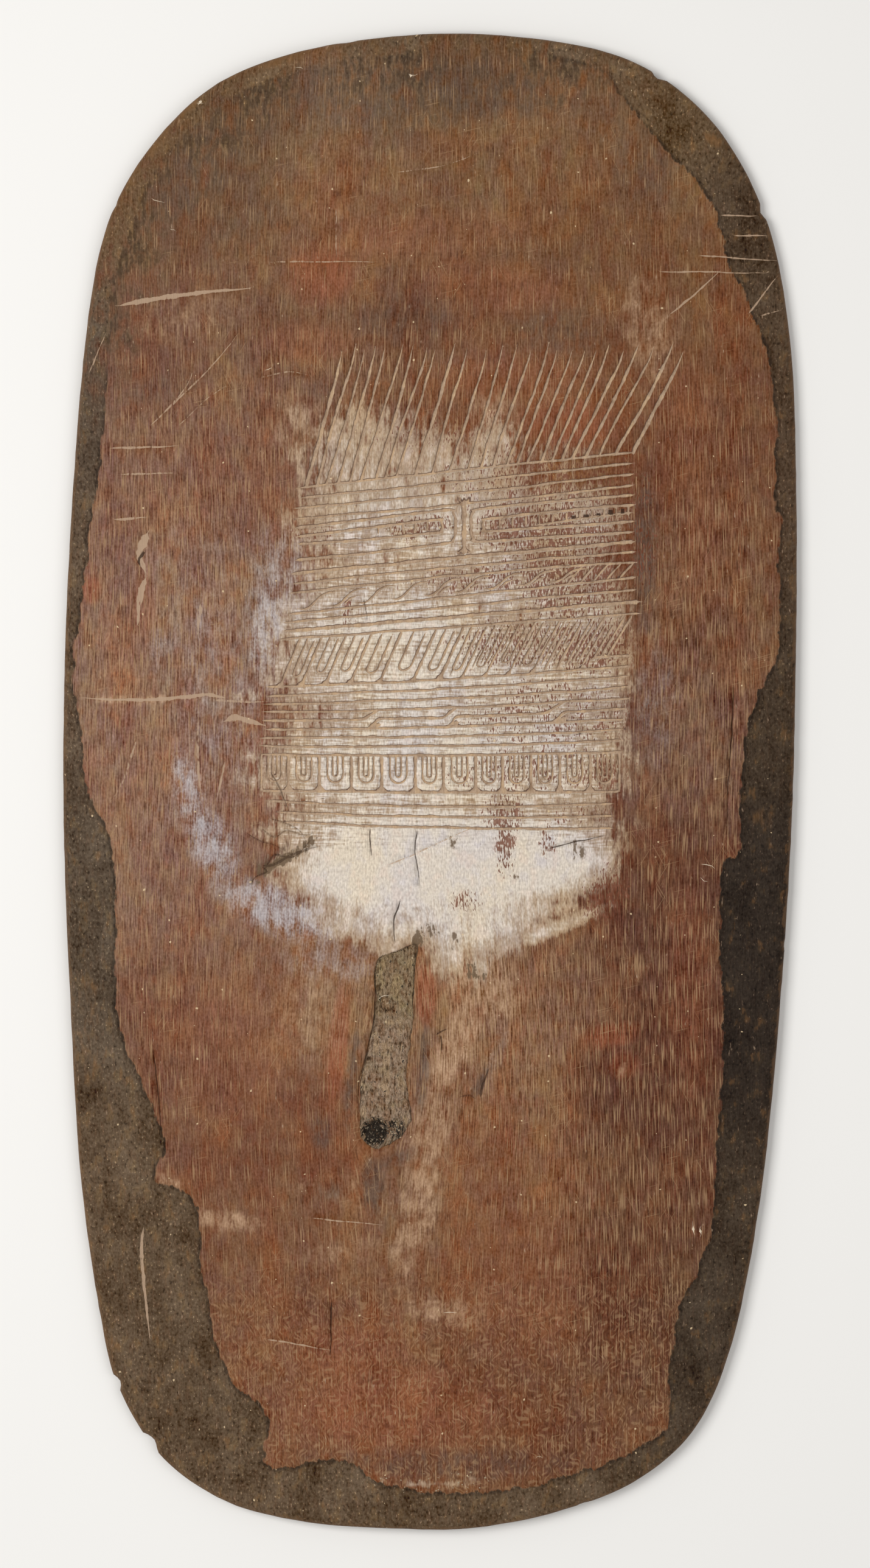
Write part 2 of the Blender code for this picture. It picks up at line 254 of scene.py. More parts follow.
@dataclass(frozen=True)
class Outline:
    """The rim, clockwise from the top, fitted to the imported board's box."""

    low: Place
    high: Place
    spacing: float = 3.2
    unevenness: float = 0.35
    bend: float = 17.0
    stations: tuple[Place, ...] = (
        (30, 550), (107, 542), (157, 526), (202, 492.5), (235.3, 443.7), (255.8, 386),
        (267, 305.5), (270, 205), (269.7, 105), (266.5, -29), (258, -162.5), (244.8, -296),
        (224, -407.6), (196, -474.5), (151, -514.6), (93.6, -537), (30, -549), (-30, -549),
        (-91, -544.5), (-148, -530.5), (-195.5, -499), (-226.5, -452), (-240, -407.6),
        (-256.7, -296), (-264.7, -162.5), (-269.7, -29), (-268.3, 105), (-261.2, 238.7),
        (-250.5, 350), (-234.9, 417), (-203.2, 470.4), (-159, 512), (-103, 535), (-40, 546.5),
    )
    nicks: tuple[Nick, ...] = (
        Nick((-226.9, -440.6), 12, 3.0), Nick((-202.8, -483.3), 16, 4.0),
        Nick((168.0, 519.0), 10, 2.5), Nick((244.3, 419.0), 9, 2.2),
        Nick((-232.0, 424.0), 7, 0.8), Nick((113.0, -532.0), 9, 0.7),
        Nick((262.0, -120.0), 8, 0.6), Nick((-60.0, 542.0), 12, 0.7),
    )

    def loop(self) -> tuple[Path, np.ndarray]:
        """The rim's stations, and the unit normal into the board at each.

        Returns:
            Both, in order round the board.
        """
        path = spline(self.stations, self.spacing, closed=True)
        low, high = path.min(axis=0), path.max(axis=0)
        span = np.array(self.high) - self.low
        path = (path - low) / (high - low) * span + self.low
        inward = -normals(path, closed=True)
        closed = np.concatenate([path, path[:1]])
        reach = along(closed)[:-1]
        rough = np.abs(waver(reach, self.bend, np.random.default_rng(SEED)))
        path = path + inward * (self.unevenness * rough)[:, None]
        for nick in self.nicks:
            middle = path_distance(np.array([nick.place]), closed)[1][0]
            cut = np.clip(1 - np.abs(reach - middle) / (nick.width / 2), 0.0, 1.0)
            path = path + inward * (nick.depth * np.sqrt(cut))[:, None]
        return path, inward


@dataclass(frozen=True)
class RaisedMiddle:
    """The middle that stands a little above the worn border, with its ragged edge."""

    step: float = 0.6
    step_width: float = 1.2
    spacing: float = 2.0
    bays: Place = (1.4, 17.0)
    spurs: Place = (1.1, 5.0)
    fade: Place = (330.0, 420.0)
    fade_towards: Place = (-0.50, 0.87)
    stations: tuple[Place, ...] = (
        (116, 526), (148, 494), (169, 467), (196, 440), (211, 417), (217.5, 386), (234, 350),
        (252.5, 286), (253, 205), (257, 196), (253.5, 162), (257, 140), (254.5, 94), (240, 60),
        (232, 36), (228, -1), (226.5, -50), (213, -71), (214.4, -194), (209.5, -288),
        (205, -336), (185, -384), (176, -434), (176, -469), (161, -485), (124, -502),
        (43, -522), (-32, -516), (-65, -497.5), (-119, -503), (-119.5, -467), (-148, -434),
        (-164, -380), (-174, -309), (-203, -292), (-194, -265), (-211, -225), (-229, -170),
        (-233, -58), (-253.5, -1), (-258.5, 52), (-262.5, 83), (-254, 154), (-246.5, 205),
        (-237.5, 286), (-230.9, 370), (-196, 452), (-135, 505), (-40, 530), (50, 536),
    )

    def loop(self) -> Path:
        """The edge, with small torn bays and spurs."""
        return torn_loop(self.stations, self.spacing, (self.bays, self.spurs), 1)

    def fading(self, points: np.ndarray) -> np.ndarray:
        """How far the step has been rubbed away at each point, from 0 to 1."""
        return smooth(points @ np.array(self.fade_towards), *self.fade)


@dataclass(frozen=True)
class KnotScar:
    """A branch scar filled with rough bark, with a pit at its foot."""

    depth: float = 2.2
    bank: float = 3.0
    spacing: float = 2.0
    tears: Place = (0.7, 5.0)
    pits: tuple[tuple[float, float, float, float], ...] = (
        (-40.0, -257.2, 13.0, 1.0), (-25.0, -255.0, 9.5, 0.62))
    pit_depth: float = 4.2
    PIT_FLOOR = 0.45
    PIT_BED = 0.98
    stations: tuple[Place, ...] = (
        (-9.5, -119), (-11, -136), (-12, -154), (-12, -176), (-15, -198), (-17, -216),
        (-15.6, -229), (-13.4, -241), (-15, -252), (-22, -261), (-32, -267), (-39, -270),
        (-47, -266), (-52, -257), (-52, -244), (-52, -229), (-51, -217), (-47, -200),
        (-42.6, -180), (-40, -161), (-41, -149), (-40, -134), (-34, -127), (-22, -123),
    )

    def loop(self) -> Path:
        """The scar's lip, a little ragged."""
        return torn_loop(self.stations, self.spacing, [self.tears], 2)

    def pit_share(self, points: np.ndarray) -> np.ndarray:
        """How deep each point is in the pit, from 0 to 1.

        Args:
            points: where to look.

        Returns:
            One share for each.
        """
        lobes = [
            share * (1 - smooth(np.hypot(*(points - (x, y)).T), radius * self.PIT_FLOOR, radius))
            for x, y, radius, share in self.pits
        ]
        return np.max(lobes, axis=0)


# Strokes cut or rubbed into the front


class Mark(Enum):
    """What made a stroke, which is also the name of the attribute that it leaves."""

    GROOVE = "groove"
    SCRATCH = "scratch"
    CRACK = "crack"
    DAUB = "daub"

    @property
    def depth(self) -> float:
        """How deep such a mark is; a daub stands up."""
        return {"groove": 0.9, "scratch": 0.25, "crack": 0.8, "daub": -0.5}[self.value]

    @property
    def shake(self) -> float:
        """How far such a mark of wear strays to either side."""
        return {"groove": 0.0, "scratch": 0.5, "crack": 0.8, "daub": 0.0}[self.value]


@dataclass(frozen=True)
class Stroke:
    """One stroke: its path, its full width and depth, and how it runs out at its two ends."""

    path: Path
    width: float = 2.7
    depth: float = 0.9
    tapers: Place = (1.6, 1.6)
    flare: float = 0.0
    floor: float = 0.58
    mark: Mark = Mark.GROOVE
    strength: float = 1.0
    FLARE_LENGTH = 4.5
    THINNEST = 0.12
    LONGEST_TAPER = 0.9
    HAND = 0.16
    HAND_WAVES = (0.31, 0.83)

    def run_out(self, reach: np.ndarray) -> np.ndarray:
        """From 0 at its ends to 1 where it is full.

        Args:
            reach: places along it.

        Returns:
            A share for each.
        """
        total = along(self.path)[-1]
        gaps = zip((reach, total - reach), self.tapers)
        shares = [gap / min(taper, total * self.LONGEST_TAPER) for gap, taper in gaps if taper]
        return np.clip(np.min([np.ones_like(reach), *shares], axis=0), 0.0, 1.0)

    def half_widths(self, reach: np.ndarray) -> np.ndarray:
        """Half its width at each place along it.

        Args:
            reach: places along it.

        Returns:
            A width for each.
        """
        tip = np.maximum(np.sqrt(self.run_out(reach)), self.THINNEST)
        wide = 1 + self.flare * (1 - smooth(reach, 0.0, self.FLARE_LENGTH))
        start, (slow, quick) = self.path[0].sum(), self.HAND_WAVES
        hand = 1 + self.HAND * (np.sin(reach * slow + start) + np.sin(reach * quick + 2 * start))
        return self.width / 2 * tip * wide * hand

    def lines(self) -> Iterator[Path]:
        """The lines that its faces follow: its middle, the edges of its floor and its lips.

        Returns:
            Each line, as a path.
        """
        side = normals(self.path) * self.half_widths(along(self.path))[:, None]
        for share in sorted({-1.0, -self.floor, 0.0, self.floor, 1.0}):
            yield self.path + side * share

    def press(self, points: np.ndarray) -> tuple[np.ndarray, np.ndarray, np.ndarray]:
        """Which points it touches, how much of its mark each has, and how deep each lies.

        Args:
            points: where to look.

        Returns:
            All three, in the same order.
        """
        room = self.width * (1 + self.flare)
        low, high = self.path.min(axis=0) - room, self.path.max(axis=0) + room
        near = np.flatnonzero(((points > low) & (points < high)).all(axis=1))
        if not len(near):
            return near, np.zeros(0), np.zeros(0)
        distance, here = path_distance(points[near], self.path)
        share = np.clip((1 - distance / self.half_widths(here)) / (1 - self.floor), 0.0, 1.0)
        for taper, tip, following in zip(self.tapers, self.path[[0, -1]], self.path[[1, -2]]):
            if not taper:
                share[((points[near] - tip) @ (following - tip)) < 0] = 0.0
        deep = self.depth * share * np.sqrt(self.run_out(here))
        return near, share * self.strength, deep


LONG_BEND, SHORT_BEND = 19.0, 7.0


def hand_path(points: Sequence[Place], spacing: float = 2.4, shake: float = 0.0, seed: int = 0) -> Path:
    """A path through a few points as a hand cuts it.

    Args:
        points: the points that it passes through.
        spacing: how far apart its stations are.
        shake: how far it strays to either side.
        seed: which random line it strays by.

    Returns:
        The path.
    """
    path = spline(points, spacing)
    if shake:
        rng, reach = np.random.default_rng(SEED + seed), along(path)
        stray = (waver(reach, LONG_BEND, rng) + 0.5 * waver(reach, SHORT_BEND, rng)) * shake
        path = path + normals(path) * stray[:, None]
    return path


@dataclass(frozen=True)
class Cut:
    """How strokes of one kind are cut: their station gap, and what each stroke is like."""

    gap: float
    width: float
    tapers: Place = (1.6, 1.6)
    flare: float = 0.0
    depth: float = 0.9
    strength: float = 1.0
    mark: Mark = Mark.GROOVE

    def along(self, path: Path, boldness: float = 1.0) -> Stroke:
        """A stroke of this kind along a path.

        Args:
            path: its stations.
            boldness: what its width is multiplied by.

        Returns:
            The stroke.
        """
        return Stroke(
            path, self.width * boldness, self.depth, self.tapers, self.flare, mark=self.mark,
            strength=self.strength)

    def through(
        self, points: Sequence[Place], boldness: float = 1.0, shake: float = 0.0, seed: int = 0
    ) -> Stroke:
        """A stroke of this kind through a few points, which strays by its own random line."""
        return self.along(hand_path(points, self.gap, shake, seed), boldness)


# The carved panel, from its top to its foot


@dataclass(frozen=True)
class Course:
    """A straight course: its left end, its right end and how it bows between them."""

    left: Place
    right: Place
    bow: float

    def height(self, x: float) -> float:
        """Its height at a place across the board."""
        t = (x - self.left[0]) / (self.right[0] - self.left[0])
        return self.left[1] * (1 - t) + self.right[1] * t + self.bow * 4 * t * (1 - t)

    def points(self, start: float, end: float, count: int = 7) -> list[Place]:
        """Points on it from one place across the board to another."""
        return [(float(x), self.height(float(x))) for x in np.linspace(start, end, count)]


@dataclass(frozen=True)
class Courses:
    """A band of courses, spread evenly from the first to the last."""

    first: Course
    last: Course
    count: int
    seed: int
    shake: float = 0.45
    heavy: tuple[int, ...] = ()
    widths: Place = (2.3, 3.4)
    slip: float = 2.0
    tapers: Place = (6.0, 2.0)

    def course(self, i: int) -> Course:
        """One of them, in order from the top.

        Args:
            i: its number, from 0.

        Returns:
            Its line.
        """
        t = i / (self.count - 1)
        rng = np.random.default_rng(self.seed * 100 + i)
        slip = rng.uniform(-self.slip, self.slip, 2) * (0 < i < self.count - 1)
        left, right = (
            tuple(np.array(a) * (1 - t) + np.array(b) * t)
            for a, b in ((self.first.left, self.last.left), (self.first.right, self.last.right))
        )
        bow = self.first.bow * (1 - t) + self.last.bow * t
        return Course((left[0] + slip[0], left[1]), (right[0] + slip[1], right[1]), bow)

    def stroke(self, i: int) -> Stroke:
        """The stroke that cuts one of them from end to end.

        Args:
            i: its number, from 0.

        Returns:
            A stroke along its line.
        """
        course = self.course(i)
        points = course.points(course.left[0], course.right[0])
        path = hand_path(points, shake=self.shake, seed=self.seed * 100 + i)
        return Stroke(path, width=self.widths[i in self.heavy], tapers=self.tapers)

    def strokes(self) -> Iterator[Stroke]:
        """All of them."""
        for i in range(self.count):
            yield self.stroke(i)


@dataclass(frozen=True)
class Rays:
    """Strokes fanned upwards from the top course, each by its foot and its place half way."""

    top: Course
    halfway: float = 305.0
    tip: Place = (313.0, 321.0)
    bend: float = 1.3
    widths: Place = (2.2, 3.0)
    outer_width: float = 3.4
    tip_tapers: Place = (14.0, 40.0)
    straightening: float = 0.8
    gap: float = 3.0
    shake: float = 0.4
    FIRST_SEED = 200
    spread: tuple[Place, ...] = (
        (-90.7, -66.4), (-82.9, -57.9), (-75.8, -50.8), (-67.3, -42.8), (-58.8, -35.7),
        (-50.8, -24.1), (-40.1, -15.6), (-32.7, -5.3), (-24.7, 0.9), (-10.7, 14.3), (1.8, 24.5),
        (14.5, 38.8), (27.4, 49.5), (37.0, 60.2), (46.2, 70.9), (56.4, 82.9), (63.7, 90.0),
        (71.2, 100.3), (82.0, 110.1), (89.4, 118.1), (96.7, 126.1), (103.6, 137.7),
        (113.7, 147.1), (123.9, 158.7), (135.9, 171.1), (148.4, 181.4),
    )

    def strokes(self) -> Iterator[Stroke]:
        """All of the rays, thin at their tips.

        Returns:
            One at a time.
        """
        rng = np.random.default_rng(SEED + 3)
        for i, (foot, head) in enumerate(self.spread):
            low = self.top.height(foot)
            lean = (head - foot) / (self.halfway - low)
            tip = rng.uniform(*self.tip)
            bend = rng.uniform(-self.bend, self.bend)
            points = [
                (foot, low), ((foot + head) / 2 + bend, (low + self.halfway) / 2),
                (head, self.halfway), (head + lean * (tip - self.halfway) * self.straightening, tip),
            ]
            outermost = i in (0, len(self.spread) - 1)
            width = self.outer_width if outermost else rng.uniform(*self.widths)
            path = hand_path(points, self.gap, self.shake, self.FIRST_SEED + i)
            yield Stroke(path, width=width, tapers=(0.0, rng.uniform(*self.tip_tapers)))


@dataclass(frozen=True)
class FacingLoops:
    """A bar with rounded loops opening away from it, and a row of beads in the right pair."""

    bar: float = 25.0
    bar_heights: Place = (167.5, 206.0)
    corner: float = 6.5
    loops: tuple[tuple[float, ...], ...] = (
        (29.8, 149.0, 199.5, 210.0, 176.0, 183.0), (38.6, 150.0, 192.5, 203.0, 183.5, 191.0),
        (18.6, -99.0, 198.5, 186.0, 174.5, 162.0), (9.0, -97.0, 191.5, 179.5, 182.0, 174.0),
    )
    spur: tuple[Place, ...] = ((76.0, 187.6), (85.0, 188.8), (120.0, 194.1), (148.0, 197.2))
    upper_arm: Course = Course((43.0, 192.5), (150.0, 203.0), 0.0)
    beads: tuple[float, ...] = (
        51.3, 60.6, 70.4, 80.2, 90.0, 100.3, 110.1, 119.0, 127.9, 136.8, 145.7)
    first_square: int = 5
    left_beads: tuple[float, ...] = (-38.0, -29.0, -20.0, -11.0, -2.0)
    left_bead_foot: float = 180.6
    bead_rise: float = 0.098
    bead_heights: Place = (7.6, 7.0)
    bead_lean: float = 0.4
    square_height: float = 3.2
    clearances: Place = (0.6, 2.6)
    half_bar: Cut = Cut(1.6, 3.8, (0.0, 0.0), 2.6)
    arm: Cut = Cut(1.5, 2.7, (3.0, 3.0))
    arm_shake: float = 0.25
    arm_bow: float = 0.4
    tuck: float = 0.3
    spur_cut: Cut = Cut(2.4, 2.1, (12.0, 2.0))
    divider: Cut = Cut(1.8, 2.0)
    left_divider: Cut = Cut(1.8, 1.9)
    square: Cut = Cut(1.6, 4.6, (0.0, 0.0), 0.0, 0.5, 0.75, Mark.CRACK)
    FIRST_SEED = 40

    def strokes(self) -> Iterator[Stroke]:
        """The bar, its four flared corners, the loops and the beads.

        Returns:
            One at a time.
        """
        low, high = self.bar_heights
        middle = (low + high) / 2
        for end in (low, high):
            yield self.half_bar.through([(self.bar, y) for y in (end, (end + middle) / 2, middle)])
        for i, loop in enumerate(self.loops):
            yield self.arm.through(self.loop(*loop), 1.0, self.arm_shake, self.FIRST_SEED + i)
        yield self.spur_cut.through(self.spur)
        yield from self.bead_strokes()

    def loop(
        self, turn: float, end: float, upper: float, upper_end: float, lower: float, lower_end: float
    ) -> list[Place]:
        """Points round one loop.

        Args:
            turn: where across the board it turns back.
            end: where across the board both its arms end.
            upper: the height of its upper arm at the turn.
            upper_end: that arm's height at its end.
            lower: the height of its lower arm at the turn.
            lower_end: that arm's height at its end.

        Returns:
            The points, from the end of the upper arm to the end of the lower one.
        """
        corner = min(self.corner, (upper - lower) / 2 - self.arm_bow)
        reach = corner * (1 if end > turn else -1)
        halfway, tuck, bow = (end + turn) / 2, corner * self.tuck, self.arm_bow
        return [
            (end, upper_end), (halfway, (upper_end + upper) / 2 + bow), (turn + reach, upper),
            (turn + reach * self.tuck, upper - tuck), (turn, upper - corner),
            (turn, (upper + lower) / 2), (turn, lower + corner),
            (turn + reach * self.tuck, lower + tuck), (turn + reach, lower),
            (halfway, (lower + lower_end) / 2 - bow), (end, lower_end),
        ]

    def bead_strokes(self) -> Iterator[Stroke]:
        """The dividers between the beads, the dark squares in some, and the left loop's dividers.

        Returns:
            One at a time.
        """
        right, left = self.bead_heights
        for x in self.beads:
            head = self.upper_arm.height(x) - self.clearances[0]
            middle = (x - self.bead_lean, head - right / 2)
            yield self.divider.through([(x, head - right), middle, (x, head)])
        for pair in zip(self.beads[self.first_square:], self.beads[self.first_square + 1:]):
            x = sum(pair) / 2
            head = self.upper_arm.height(x) - self.clearances[1]
            square = [(x, head - self.square_height * share) for share in (1.0, 0.5, 0.0)]
            yield self.square.through(square)
        for x in self.left_beads:
            foot = self.left_bead_foot + (x - self.left_beads[0]) * self.bead_rise
            yield self.left_divider.through([(x, foot + left * share) for share in (0.0, 0.5, 1.0)])


@dataclass(frozen=True)
class Curls:
    """Leaning hooks between two courses, and short slanted cuts at their right end."""

    above: Course
    below: Course
    span: Place = (-92.0, 92.0)
    count: int = 9
    reach: float = 16.0
    gap: float = 2.6
    cuts: Place = (101.0, 141.0)
    cut_pitch: float = 9.5
    doubled: float = 0.7
    drift: float = 1.5
    hook: Cut = Cut(1.8, 1.9, (5.0, 5.0))
    inner_hook: Cut = Cut(1.8, 1.6, (3.0, 4.0), depth=0.6)
    cut: Cut = Cut(1.8, 1.9, (2.0, 3.0))

    def strokes(self) -> Iterator[Stroke]:
        """The hooks and the cuts.

        Returns:
            One at a time.
        """
        rng = np.random.default_rng(SEED + 4)
        for x in np.linspace(*self.span, self.count):
            x += rng.uniform(-self.drift, self.drift)
            foot, head = self.below.height(x) + self.gap, self.above.height(x + self.reach) - self.gap
            rise = head - foot
            points = [
                (x - 6.0, foot + 0.4), (x - 1.0, foot), (x + 4.0, foot + rise * 0.25),
                (x + self.reach * 0.62, foot + rise * 0.75), (x + self.reach, head),
                (x + self.reach + 6.0, head + 0.4),
            ]
            yield self.hook.through(points)
            if rng.uniform() < self.doubled:
                inner = [
                    (x + 5.5, foot + 1.2), (x + 9.5, foot + rise * 0.42), (x + 15.0, foot + rise * 0.62)]
                yield self.inner_hook.through(inner)
        for x in np.arange(*self.cuts, self.cut_pitch):
            foot, head = self.below.height(x) + 0.6, self.above.height(x + 9.0) - 0.6
            points = [(x, foot), (x + 5.0, (foot + head) / 2), (x + 10.5, head)]
            yield self.cut.through(points)


HALF_TURN = (1.0, 1.25, 1.5, 1.75, 2.0)


@dataclass(frozen=True)
class Tongues:
    """Leaning tongues with a narrow cup in each, then close hatching with a steeper lean."""

    above: Course
    below: Course
    feet: tuple[float, ...] = (
        -110.0, -94.5, -76.9, -58.6, -37.1, -12.5, 6.7, 23.2, 40.1, 57.0, 74.4)
    fainter_beyond: float = 20.0
    faintness: float = 0.7
    lean: Place = (0.42, 0.62)
    cup: Place = (0.36, 0.72)
    cup_lift: float = 8.0
    hatching: Place = (78.0, 128.0)
    hatch_pitch: float = 4.6
    nicks_from: float = 8.0
    nick_spread: float = 1.1
    head_shift: float = 15.0
    side_cut: Cut = Cut(1.9, 2.4, (0.0, 2.0), 1.9)
    cup_cut: Cut = Cut(1.5, 1.9, (2.0, 4.0))
    hatch: Cut = Cut(0.0, 1.0, (5.0, 4.0), depth=0.6)
    nick: Cut = Cut(0.0, 1.0, (3.0, 3.0), depth=0.4, strength=0.8)
    closing_cut: Cut = Cut(2.4, 2.4, (2.0, 2.0))
    closing: tuple[Place, ...] = ((117.0, 89.0), (123.0, 91.2), (136.0, 91.9), (147.0, 92.2))

    def lean_at(self, x: float) -> float:
        """How far the strokes lean at a place across the board."""
        share = (x - self.feet[0]) / (self.hatching[1] - self.feet[0])
        return self.lean[0] + (self.lean[1] - self.lean[0]) * min(max(share, 0.0), 1.0) ** 2

    def side(self, foot: float) -> list[Place]:
        """Points on a leaning side from the lower course to the upper one.

        Args:
            foot: how far right its foot is.

        Returns:
            The places that it passes through.
        """
        low = self.below.height(foot)
        rise = self.above.height(foot + self.head_shift) - low
        lean = self.lean_at(foot)
        return [(foot + lean * rise * t, low + rise * t) for t in (0.0, 0.35, 0.7, 1.0)]

    def part_of(self, line: list[Place], start: float, end: float, count: int) -> Path:
        """A part of a line, from one share of its length to another."""
        total = along(np.array(line))[-1]
        return at(np.array(line), np.linspace(start * total, end * total, count))

    def strokes(self) -> Iterator[Stroke]:
        """The tongues' sides and cups, the hatching and the closing corner.

        Returns:
            One at a time.
        """
        rng = np.random.default_rng(SEED + 5)
        for i, foot in enumerate(self.feet):
            bold = 1.0 if foot < self.fainter_beyond else self.faintness
            yield self.side_cut.through(self.side(foot), bold)
            if i + 1 < len(self.feet):
                yield self.cup_stroke(foot, self.feet[i + 1], bold, rng)
        for x in np.arange(*self.hatching, self.hatch_pitch):
            line = self.side(x + rng.uniform(-0.8, 0.8))
            path = self.part_of(line, rng.uniform(0.0, 0.2), rng.uniform(0.85, 1.0), 14)
            yield self.hatch.along(path, rng.uniform(1.3, 2.1))
        for x in np.arange(self.nicks_from, self.hatching[0], self.hatch_pitch * self.nick_spread):
            line = self.side(x + rng.uniform(-1.2, 1.2))
            start = rng.uniform(0.05, 0.5)
            path = self.part_of(line, start, start + rng.uniform(0.25, 0.45), 8)
            yield self.nick.along(path, rng.uniform(1.0, 1.6))
        yield self.closing_cut.through(self.closing)

    def cup_stroke(
        self, foot: float, following: float, boldness: float, rng: np.random.Generator
    ) -> Stroke:
        """A narrow cup that hangs from the upper course between two sides.

        Args:
            foot: the left side's foot.
            following: the right side's foot.
            boldness: how wide it is cut.
            rng: the random draws.

        Returns:
            The stroke that cuts it.
        """
        gap = following - foot
        left, right = (foot + gap * share for share in self.cup)
        low = self.below.height(foot) + self.cup_lift * rng.uniform(0.8, 1.3)
        rise = self.above.height(foot + self.head_shift) - low
        lean = self.lean_at(foot)
        shift = lean * (low - self.below.height(foot))
        radius = (right - left) / 2
        points = [(left + shift + lean * rise * t, low + rise * t) for t in (1.0, 0.45)]
        for turn in HALF_TURN:
            angle = turn * math.pi
            across = (left + right) / 2 + shift + radius * math.cos(angle)
            up = radius * (1.0 + math.sin(angle))
            points.append((across + lean * up, low + up))
        points += [(right + shift + lean * rise * t, low + rise * t) for t in (0.5, 0.95)]
        return self.cup_cut.through(points, boldness)


@dataclass(frozen=True)
class SteppedCourses:
    """Courses of which one climbs to the next above it, three times, with a wedge at each foot."""

    band: Courses
    climbing: int = 4
    climbs: tuple[tuple[float, float], ...] = ((-50.0, -37.0), (9.0, 20.0), (84.0, 99.0))
    climb: Cut = Cut(1.9, 2.6, (4.0, 2.0))
    end: Cut = Cut(1.9, 2.4, (2.0, 2.0))
    wedge: Cut = Cut(1.2, 4.8, (8.0, 1.0))
    shake: float = 0.2
    seeds: tuple[int, int] = (60, 61)
    branch: float = 4.0

    def strokes(self) -> Iterator[Stroke]:
        """The plain courses, the broken one and the wedges.

        Returns:
            One at a time.
        """
        for i in range(self.band.count):
            if i != self.climbing:
                yield self.band.stroke(i)
        above, own, below = (self.band.course(self.climbing + k) for k in (-1, 0, 1))
        start = own.left[0]
        points: list[Place] = []
        for foot, head in self.climbs:
            points += own.points(start, foot, 5)
            middle = (foot + head) / 2
            points += [
                (middle, (own.height(middle) + above.height(middle)) / 2), (head, above.height(head))]
            yield self.climb.through(points, 1.0, self.shake, self.seeds[0])
            start = head
            branch = foot + self.branch
            points = [(branch, below.height(branch)), ((branch + head) / 2, below.height(head) + 2.6)]
            wedge = [(head - 7.0, below.height(head) + 1.0), (head - 3.0, below.height(head) + 1.9)]
            wedge.append((head + 0.8, below.height(head) + 2.9))
            yield self.wedge.through(wedge)
        points += own.points(start, own.right[0], 5)
        yield self.end.through(points, 1.0, self.shake, self.seeds[1])


@dataclass(frozen=True)
class CellRow:
    """Upright cells with two cups, one inside the other, in each."""

    above: Course
    below: Course
    sides: tuple[float, ...] = (
        -123.9, -103.8, -81.1, -57.9, -35.7, -10.7, 9.8, 33.4, 53.0, 74.0, 94.9, 117.2, 138.6,
    )
    insets: Place = (5.6, 9.3)
    full_gap: float = 22.0
    lift: float = 1.15
    drift: float = 0.4
    outer_side: Cut = Cut(1.9, 2.2, (0.0, 0.0))
    inner_side: Cut = Cut(1.9, 2.8, (0.0, 0.0), 2.6)
    cups: tuple[Cut, Cut] = (Cut(1.4, 1.8, (1.0, 1.0)), Cut(1.4, 1.5, (1.0, 1.0)))

    def strokes(self) -> Iterator[Stroke]:
        """The cells' sides with flared feet, and their cups.

        Returns:
            One at a time.
        """
        rng = np.random.default_rng(SEED + 6)
        last = len(self.sides) - 1
        for i, x in enumerate(self.sides):
            low, high = self.below.height(x), self.above.height(x)
            middle = (x + rng.uniform(-self.drift, self.drift), (low + high) / 2)
            side = self.outer_side if i in (0, last) else self.inner_side
            yield side.through([(x, low), middle, (x, high)])
            if i == last:
                break
            gap = self.sides[i + 1] - x
            for cut, inset in zip(self.cups, self.insets):
                margin = inset * gap / self.full_gap
                yield cut.through(self.cup(x + margin, x + gap - margin, low + inset * self.lift, high))

    def cup(self, left: float, right: float, low: float, high: float) -> list[Place]:
        """A cup with a round foot and both ends at the upper course.

        Args:
            left: where it starts.
            right: where it ends.
            low: how far down it reaches.
            high: the height of its ends.

        Returns:
            The places that it passes through.
        """
        middle, radius = (left + right) / 2, (right - left) / 2
        bowl = [
            (middle + radius * math.cos(turn * math.pi), low + radius * (1 + math.sin(turn * math.pi)))
            for turn in HALF_TURN
        ]
        head = max(high, low + radius + 2.0)
        points = [(left, head), (left, (head + bowl[0][1]) / 2), *bowl]
        return [*points, (right, (head + bowl[0][1]) / 2), (right, head)]


@dataclass(frozen=True)
class Carving:
    """The whole panel."""

    upper: Courses = Courses(
        Course((-98, 215), (149, 241.5), 0.0), Course((-98, 193), (149, 217.5), -2.0), 4, 1)
    middle: Courses = Courses(
        Course((-102, 152), (150, 176), 0.0), Course((-103, 137.5), (151, 161), 2.0), 3, 2, heavy=(0,))
    lower: Courses = Courses(
        Course((-105, 122), (151, 150), 0.0), Course((-110, 104), (154, 123), 0.0), 4, 3, heavy=(2,))
    stepped: Courses = Courses(
        Course((-120, 69), (147, 85), -2.0), Course((-124, 20), (141, 22), -2.0), 9, 4)
    foot: Courses = Courses(
        Course((-119, -14.5), (134, -16.3), -3.0), Course((-107, -29.7), (134, -34), -2.0), 3, 5)
    cells_foot: Course = Course((-124, -6.5), (139, -7.4), -1.0)
    cells_foot_cut: Cut = Cut(2.4, 2.6)
    cells_foot_shake: float = 0.3
    cells_foot_seed: int = 70

    def strokes(self) -> Iterator[Stroke]:
        """Every stroke of the panel, from the top down.

        Returns:
            One at a time.
        """
        yield from Rays(self.upper.first).strokes()
        for band in (self.upper, self.middle, self.lower, self.foot):
            yield from band.strokes()
        yield from FacingLoops().strokes()
        yield from Curls(self.middle.last, self.lower.first).strokes()
        yield from Tongues(self.lower.last, self.stepped.first).strokes()
        yield from SteppedCourses(self.stepped).strokes()
        base = self.cells_foot
        points = base.points(base.left[0], base.right[0])
        yield self.cells_foot_cut.through(points, 1.0, self.cells_foot_shake, self.cells_foot_seed)
        yield from CellRow(self.stepped.last, base).strokes()


# Wear and stains


